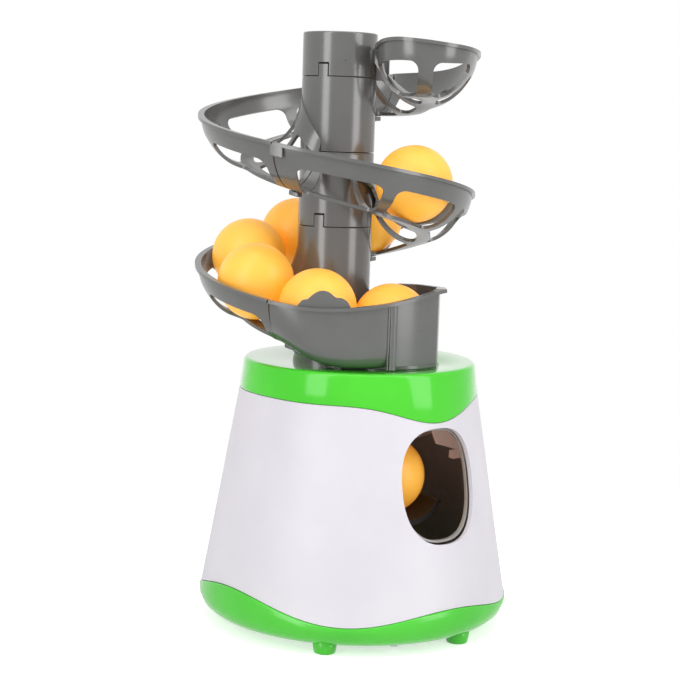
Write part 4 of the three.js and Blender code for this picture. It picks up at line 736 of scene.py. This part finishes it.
def buildTray():
    # lowest section: the track squares off into a box over the lid's hole
    start, end = tray["start"], tray["end"]
    top = seamZ(1)

    def rim(deg):
        return along(tray["rim"], deg)

    def ballZ(deg):
        first, below = tray["levelFrom"], outlet["ballBelow"]
        level = rimZ(first) - below
        share = (deg - first) / (outlet["angle"] - first)
        return np.where(deg <= first, rimZ(deg) - below, level + (outlet["ball"] - level) * share)

    def depth(deg):
        sunk = tray["sink"] * smooth(np.clip((deg - tray["sinkFrom"]) / (tray["sinkTo"] - tray["sinkFrom"]), 0, 1))
        return rim(deg) - np.maximum(ballZ(deg) - outlet["ballDrop"] - sunk, tray["floorLow"])

    def power(deg):
        share = np.clip((deg - tray["squareFrom"]) / (tray["squareTo"] - tray["squareFrom"]), 0, 1)
        return 2 + (tray["power"] - 2) * smooth(share)

    def attachAt(deg):
        return top - tray["attachDrop"] - rim(deg)

    place = troughPlace(rim, depth, power, attachAt)

    def clearance(deg, v):
        x, y, z = place(deg, v)
        return np.hypot(x, y - outlet["y"]) - outlet["radius"]

    def boxed(deg, v):
        # here the outer wall is the box's
        return (deg > tray["wallFrom"]) & (v < track["arcLength"])

    trough = sheet(stopsFor([start + track["gap"], tray["wallFrom"], end], track["angleStep"]),
                   stopsFor([lipOut, 0, track["arcLength"], netEnd], tray["alongStep"]), place, clearance, boxed)

    def edgeLine(radius, corners, rounds):
        # along the outer wall, then round the box's corners
        degs = np.linspace(tray["wallFrom"], end, trayBox["wallSteps"])[:-1]
        line = [(*roundTrack(radius, deg), float(rim(deg))) for deg in degs]
        path = [(*xy, z) for xy, z in zip(corners, trayBox["rimZ"])]
        for i, point in enumerate(path):
            if rounds[i]:
                line += roundCorner(path[i - 1], point, path[i + 1], rounds[i], trayBox["cornerSteps"])
            else:
                line.append(point)
        return line

    inner = edgeLine(track["outer"], trayBox["inner"], trayBox["innerRound"])
    lip = edgeLine(track["lipReach"], trayBox["lip"], trayBox["lipRound"])
    rows = [lip, inner, [(x, y, z - trayBox["lipDeep"]) for x, y, z in inner],
            [(x, y, tray["floorLow"]) for x, y, z in inner]]
    faces = [tuple(i * 4 + j + k for k in (0, 4, 5, 1)) for i in range(len(inner) - 1) for j in range(3)]
    box = [p for stop in zip(*rows) for p in stop], faces
    addPiece(grey, "trayBox", box, bevel=track["edge"], thickness=tray["wall"])

    floor = outletPlate(lambda t: max(outlet["flange"], rayReach(0, outlet["y"], t, trayBox["floor"])),
                        tray["bottom"], tray["floorLow"])
    spigot = outletPlate(lambda t: outlet["spigotOuter"], outlet["spigotLow"], tray["bottom"])
    plate = []
    for share in np.linspace(0, 1, badge["steps"]):
        deg = badge["start"] + badge["wide"] * share
        low, high = rim(deg) - badge["root"], rim(deg) + badge["rise"] * along(badge["shape"], share)
        plate += [(*roundTrack(r, deg), float(z)) for r, z in square(badge["inner"], badge["outer"], low, high)]

    def underRim(deg):
        return float(rim(deg)) - trayRib["below"]

    def trayBottom(deg):
        return tray["bottom"]

    root, reach = trayRib["root"], trayRib["reach"]
    fin = arcBar(trayRib["fin"] - trayRib["finHalf"], trayRib["fin"] + trayRib["finHalf"], root, trayRib["finReach"],
                 trayBottom, underRim, 1)
    mark = gateMark(track["outer"] + track["wall"], tray["gateAngle"], tray["gateHeight"])
    trims = joinMeshes(floor, spigot, (plate, ringFaces(badge["steps"], 4)), fin, mark)
    addPiece(grey, "trayTrims", trims, bevel=tray["trimEdge"])

    bow = [polar(1, math.degrees(a)) for a in np.linspace(0, math.pi, trayRib["points"])]
    ring = [roundTrack(root + (reach - root) * out, trayRib["angle"] + trayRib["half"] * side) for side, out in bow]
    rib = [(*xy, z) for z in (tray["bottom"], underRim(trayRib["angle"])) for xy in ring]
    addPiece(grey, "trayRib", (rib, ringFaces(2, trayRib["points"])), bevel=trayRib["edge"])
    clip = arcBar(trayClip["from"], trayClip["to"], lug["clipInner"], lug["clipOuter"],
                  lambda deg: float(rim(deg) - depth(deg)) - trayClip["low"],
                  lambda deg: float(rim(deg) - depth(deg)) - trayClip["top"], lug["steps"])
    addPiece(grey, "trayClip", clip, bevel=lug["edge"])
    addPiece(grey, "trayTrough", trough, "feed_tray", bevel=track["edge"], thickness=track["wall"])
    columnMesh = columnSheet(tray["bottom"], top - column["seam"] / 2, None, track["jointAngle"])
    addPiece(grey, "trayColumn", columnMesh, bevel=column["edge"], thickness=column["wall"])
    print("stage: feed tray")


balls = {"count": 8, "radius": 20, "cells": 14}


def ballMesh(centre):
    # cube of even cells that is blown out into a ball
    n = balls["cells"]
    points, faces = [], []
    slopes = [math.tan((i / n - 0.5) * math.pi / 2) for i in range(n + 1)]
    for axis in range(3):
        for side in (-1, 1):
            base = len(points)
            for a in slopes:
                for b in slopes:
                    v = np.zeros(3)
                    v[axis], v[(axis + 1) % 3], v[(axis + 2) % 3] = side, a * side, b
                    points.append(centre + v / np.linalg.norm(v) * balls["radius"])
            for i in range(n):
                for j in range(n):
                    q = base + i * (n + 1) + j
                    faces.append((q, q + n + 1, q + n + 2, q + 1))
    return points, faces


def buildBalls():
    for k in range(1, balls["count"] + 1):
        low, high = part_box(f"ball_{k}")
        centre = np.array((low + high) / 2 / mm) - (0, baseY, 0)
        addPiece(orange, f"ballSkin{k}", ballMesh(centre), f"ball_{k}", body=f"ball_{k}")
    print("stage: balls")


body = {"coneRadius": 79.4, "coneZ": 25, "slope": 0.172, "wall": 2.1, "edge": 0.8, "edgeSteps": 3, "edgeAngle": 40,
        "weld": 0.02, "lidEdge": 123.1, "dip": 8.8, "dipHalf": 81, "dipPower": 8, "lidWave": 0.2, "lidWaves": 6,
        "waveMid": 20.6, "waveFour": 4.1, "waveTwo": 2, "gap": 0.3,
        "around": ((-270, -262, 0.4), (-262, -112, 2.5), (-112, -68, 0.8), (-68, 82, 2.5), (82, 90, 0.4)),
        "up": ((0, 14, 1.28), (14, 34, 0.6), (34, 100, 0.905))}    # stops finer at the openings
opening = {"z": 83, "half": 23.2, "tall": 28.6, "power": 2.5, "scale": 26}
lap = {"back": 3, "reach": 5, "from": 2.4, "to": 4, "stations": 144}
posts = {"angles": (75, 165, 250, 340), "inset": 13.4, "radius": 3.6, "low": 7.3, "top": 34, "sides": 24,
         "ribHalf": 0.9, "ribFrom": 66, "ribTo": 75.6, "ribLow": 25.6, "edge": 0.3}
switch = {"half": 6, "tall": 2, "z": 44, "round": 0.8}


def coneAt(z):
    return body["coneRadius"] + (body["coneZ"] - z) * body["slope"]


def fromFront(deg):
    return np.abs((deg + 90 + 540) % 360 - 180)


def lidEdge(deg):
    share = np.minimum(fromFront(deg) / body["dipHalf"], 1)
    wave = body["lidWave"] * np.cos(np.radians(body["lidWaves"] * deg))
    return body["lidEdge"] - body["dip"] * np.cos(math.pi / 2 * share) ** body["dipPower"] + wave


def panEdge(deg):
    away = np.radians(fromFront(deg))
    return body["waveMid"] + body["waveFour"] * np.cos(4 * away) - body["waveTwo"] * np.cos(2 * away)


def bandStops(bands):
    return np.concatenate([stopsFor(band[:2], band[2])[i > 0:] for i, band in enumerate(bands)])


def lapMesh(edge, side):
    # step inside the edge that the lid or the pan slides over
    points = []
    for deg in np.linspace(0, 360, lap["stations"], endpoint=False):
        z = float(edge(deg))
        near, far = z - side * lap["back"], z + side * lap["reach"]
        for height, inset in square(near, far, lap["from"], lap["to"]):
            points.append((*polar(coneAt(height) - inset, deg), height))
    return points, ringFaces(lap["stations"], 4, True)


def buildShell():
    # the outer skin with the launch opening and the switch's slot, then what is behind it
    half, middle, tall = switch["half"], switch["z"], switch["tall"]
    slot = roundedHoles([(-half, half, middle - tall, middle + tall)], switch["round"])

    def place(deg, share):
        z = panEdge(deg) + (lidEdge(deg) - panEdge(deg)) * share / 100
        return *polar(coneAt(z), deg), z

    def clearance(deg, share):
        x, y, z = place(deg, share)
        w, h = np.abs(x) / opening["half"], np.abs(z - opening["z"]) / opening["tall"]
        f = (w ** opening["power"] + h ** opening["power"]) ** (1 / opening["power"])
        return np.where(y < 0, (f - 1) * opening["scale"], slot(x, z))

    skin = sheet(bandStops(body["around"]), bandStops(body["up"]), place, clearance)
    addPiece(white, "bodySkin", skin, "body_shell", bevel=body["edge"], segments=body["edgeSteps"],
             angle=body["edgeAngle"], thickness=body["wall"], weld=body["weld"])
    addPiece(white, "bodyLapHigh", lapMesh(lidEdge, 1))
    addPiece(white, "bodyLapLow", lapMesh(panEdge, -1))
    parts = []
    for deg in posts["angles"]:
        x, y = polar(body["coneRadius"] - posts["inset"], deg)
        half = posts["ribHalf"]
        rib = [polar(r, deg + side) for side, r in square(-half, half, posts["ribFrom"], posts["ribTo"])]
        parts += [post(x, y, posts["sides"], (posts["radius"], posts["low"]), (posts["radius"], posts["top"])),
                  boxMesh(rib, posts["ribLow"], posts["top"])]
    addPiece(white, "bodyPosts", joinMeshes(*parts), bevel=posts["edge"])
    print("stage: body")


lid = {"top": 139, "radius": 60.4, "cornerOut": 0.35, "fillet": 2.6, "filletSteps": 6, "proud": 0.2, "gap": 0.1,
       "shoulder": 12, "flat": 12, "middle": 6, "plate": 2.4, "wall": 1.9, "underIn": 2.2, "underWall": 2,
       "underFillet": 1.5, "underSteps": 2, "edgeRound": ((0.9, 0), (0.35, 0.12), (0.08, 0.5), (0, 1.0)),
       "holeY": -23, "holeRadius": 24.1, "holeRound": ((0.4, 0), (0.1, 0.12), (0, 0.4)), "stations": 180}


def buildLid():
    # one skin from the wavy edge up over the rounded shoulder and in to the outlet's hole
    corner, top = lid["radius"] + lid["cornerOut"], lid["top"]
    shoulder, inside = top - lid["shoulder"], top - lid["plate"]
    flat, middle, hole = corner - lid["flat"], corner - lid["middle"], lid["holeRadius"]
    bend = roundCorner((coneAt(shoulder) + lid["proud"], shoulder), (corner, top), (flat, top), lid["fillet"],
                       lid["filletSteps"])
    under = roundCorner((flat, inside), (corner - lid["underIn"], inside),
                        (coneAt(shoulder) - lid["underWall"], shoulder), lid["underFillet"], lid["underSteps"])
    holeRows = [(hole + wide, top - down) for wide, down in lid["holeRound"]] + [(hole, inside)]
    points = []
    for deg in np.linspace(0, 360, lid["stations"], endpoint=False):
        edge = float(lidEdge(deg)) + lid["gap"]
        out = coneAt(edge) + lid["proud"]
        rows = [(out - inward, edge + up) for inward, up in lid["edgeRound"]] + bend + [(middle, top)]
        points += [(*polar(r, deg), z) for r, z in rows]
        x, y = polar(middle, deg)
        toward = math.degrees(math.atan2(y - lid["holeY"], x))
        points += [(*polar(r, toward, 0, lid["holeY"]), z) for r, z in holeRows]
        points += [(*polar(r, deg), z) for r, z in ((middle, inside), *under, (coneAt(edge) - lid["wall"], edge))]
    count = len(points) // lid["stations"]
    addPiece(green, "lidSkin", (points, ringFaces(lid["stations"], count, True)), "top_lid")
    print("stage: lid")


pan = {"bulge": 81.5, "bulgeIn": 0.1, "bulgeUnder": 1.1, "bulgeTop": 17, "low": 5, "floorRadius": 72.5, "lipIn": 0.6,
       "lipProud": 0.4, "sections": ((75.9, 6.4), (79.4, 9.4), (81.2, 13.4)), "stations": 180, "wall": 2,
       "edgeRound": ((0, 0.9), (0.2, 0.4), (0.6, 0.1), (1.2, 0)), "insideDrop": 5.3, "insideTop": 15,
       "inside": ((77.3, 10.5), (73.8, 7.5), (71.5, 7)), "floorTop": 7}
bay = {"half": 31, "front": -50, "back": 13, "wall": 1.6, "low": 6, "top": 21.5, "edge": 0.3}
feet = {"angles": (131, 220.5, 282.5, 17), "reach": 69.5, "sides": 36,
        "rings": ((4.6, 0), (5.3, 0.3), (5.6, 1), (6.8, 8.6))}


def bayOutline(grow):
    half = bay["half"] + grow
    return square(-half, half, bay["front"] - grow, bay["back"] + grow)


def buildPan():
    # skin from the battery opening out over the floor, up the bulge to the wavy edge and back inside
    inner, outer = bayOutline(0), bayOutline(bay["wall"])

    def profile(deg):
        edge = float(panEdge(deg)) - body["gap"]
        lip = max(coneAt(edge) + pan["lipProud"], pan["bulge"] - pan["lipIn"])
        low = min(edge - pan["insideDrop"], pan["insideTop"])
        hole = rayReach(0, 0, math.radians(deg), inner)
        return [(hole, pan["low"]), (pan["floorRadius"], pan["low"]), *pan["sections"],
                (pan["bulge"] - pan["bulgeIn"], min(edge - pan["bulgeUnder"], pan["bulgeTop"])),
                *[(lip - inward, edge - down) for inward, down in pan["edgeRound"]],
                (coneAt(edge) - pan["wall"], edge), (coneAt(low) - pan["wall"], low), *pan["inside"],
                (hole, pan["floorTop"])]

    even = np.linspace(0, 360, pan["stations"], endpoint=False)
    degs = sorted(set(even) | {math.degrees(math.atan2(y, x)) % 360 for x, y in inner})
    loops = [[(*polar(r, deg), z) for r, z in profile(deg)] for deg in degs]
    skin = [p for loop in loops for p in loop], ringFaces(len(loops), len(loops[0]), True)
    addPiece(panGreen, "panSkin", skin, "base_pan")
    walls = [(*xy, z) for a, b in zip(inner, outer) for xy, z in square(a, b, bay["low"], bay["top"])]
    addPiece(panGreen, "panBay", (walls, ringFaces(4, 4, True)), bevel=bay["edge"])
    stubs = [post(*polar(feet["reach"], deg), feet["sides"], *feet["rings"]) for deg in feet["angles"]]
    addPiece(panGreen, "panFeet", joinMeshes(*stubs))
    print("stage: pan")


muzzle = {"sides": 96, "section": square(0.35, 1.5, 3.2, 5.4), "edge": 0.25}
wing = {"outline": ((17, 104.4), (20.4, 97.8), (41.8, 91.5), (43, 100), (39, 119), (17, 119)), "front": -41.2,
        "back": -39.6, "block": square(31.5, 41, -41.6, -38), "blockLow": 88.9, "blockTop": 93.2, "edge": 0.3}


def buildMuzzle():
    # thin lining that stands just behind the edge of the launch opening, and the chute's wing seen through it, which
    # carries a painted glow
    points = []
    power = 2 / opening["power"]
    for i in range(muzzle["sides"]):
        c, s = polar(1, 360 * i / muzzle["sides"])
        for inset, back in muzzle["section"]:
            x = math.copysign((opening["half"] - inset) * abs(c) ** power, c)
            z = opening["z"] + math.copysign((opening["tall"] - inset) * abs(s) ** power, s)
            points.append((x, back - math.sqrt(coneAt(z) ** 2 - x * x), z))
    ring = points, ringFaces(muzzle["sides"], 4, True)
    addPiece(lining, "muzzleRing", ring, "muzzle_liner", bevel=muzzle["edge"])
    plate = [(x, y, z) for y in (wing["front"], wing["back"]) for x, z in wing["outline"]]
    block = boxMesh(wing["block"], wing["blockLow"], wing["blockTop"])
    addPiece(paintedGlowWing, "chuteWing", joinMeshes((plate, ringFaces(2, len(wing["outline"]))), block), bevel=wing["edge"])
    print("stage: muzzle")


workingParts = (
    (panPlastic, ["battery_door"]), (chutePlastic, ["ball_chute"]), (cradlePlastic, ["launch_cradle"]),
    (rubber, ["striker_pad"]), (gearPlastic, ["feed_gate", "drive_gear", "reduction_gear"]),
    (darkPlastic, ["gate_bracket", "hammer_guide", "spring_post", "switch_body", "switch_knob", "gearbox_plate_left",
                   "gearbox_plate_right", "hammer"]),
    (steelMetal, ["motor", "motor_pinion", "drive_axle", "reduction_axle", "hammer_spring", "battery_contact_left",
                  "battery_contact_right", *[f"base_screw_{i}" for i in range(1, 5)]]),
    (cellSleeve, [f"battery_cell_{i}" for i in range(1, 5)]))
workingEdge = {"width": 0.2, "segments": 2, "angle": 50}


def finishWorkingParts():
    for material, names in workingParts:
        for name in names:
            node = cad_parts[name]
            node.data.materials.clear()
            node.data.materials.append(material)
            edge = node.modifiers.new("edges", "BEVEL")
            edge.width, edge.segments = workingEdge["width"] * mm, workingEdge["segments"]
            edge.limit_method, edge.angle_limit = "ANGLE", math.radians(workingEdge["angle"])
    print("stage: finishes on the working parts")


buildTower()
buildTray()
buildBalls()
buildShell()
buildLid()
buildPan()
buildMuzzle()
finishWorkingParts()
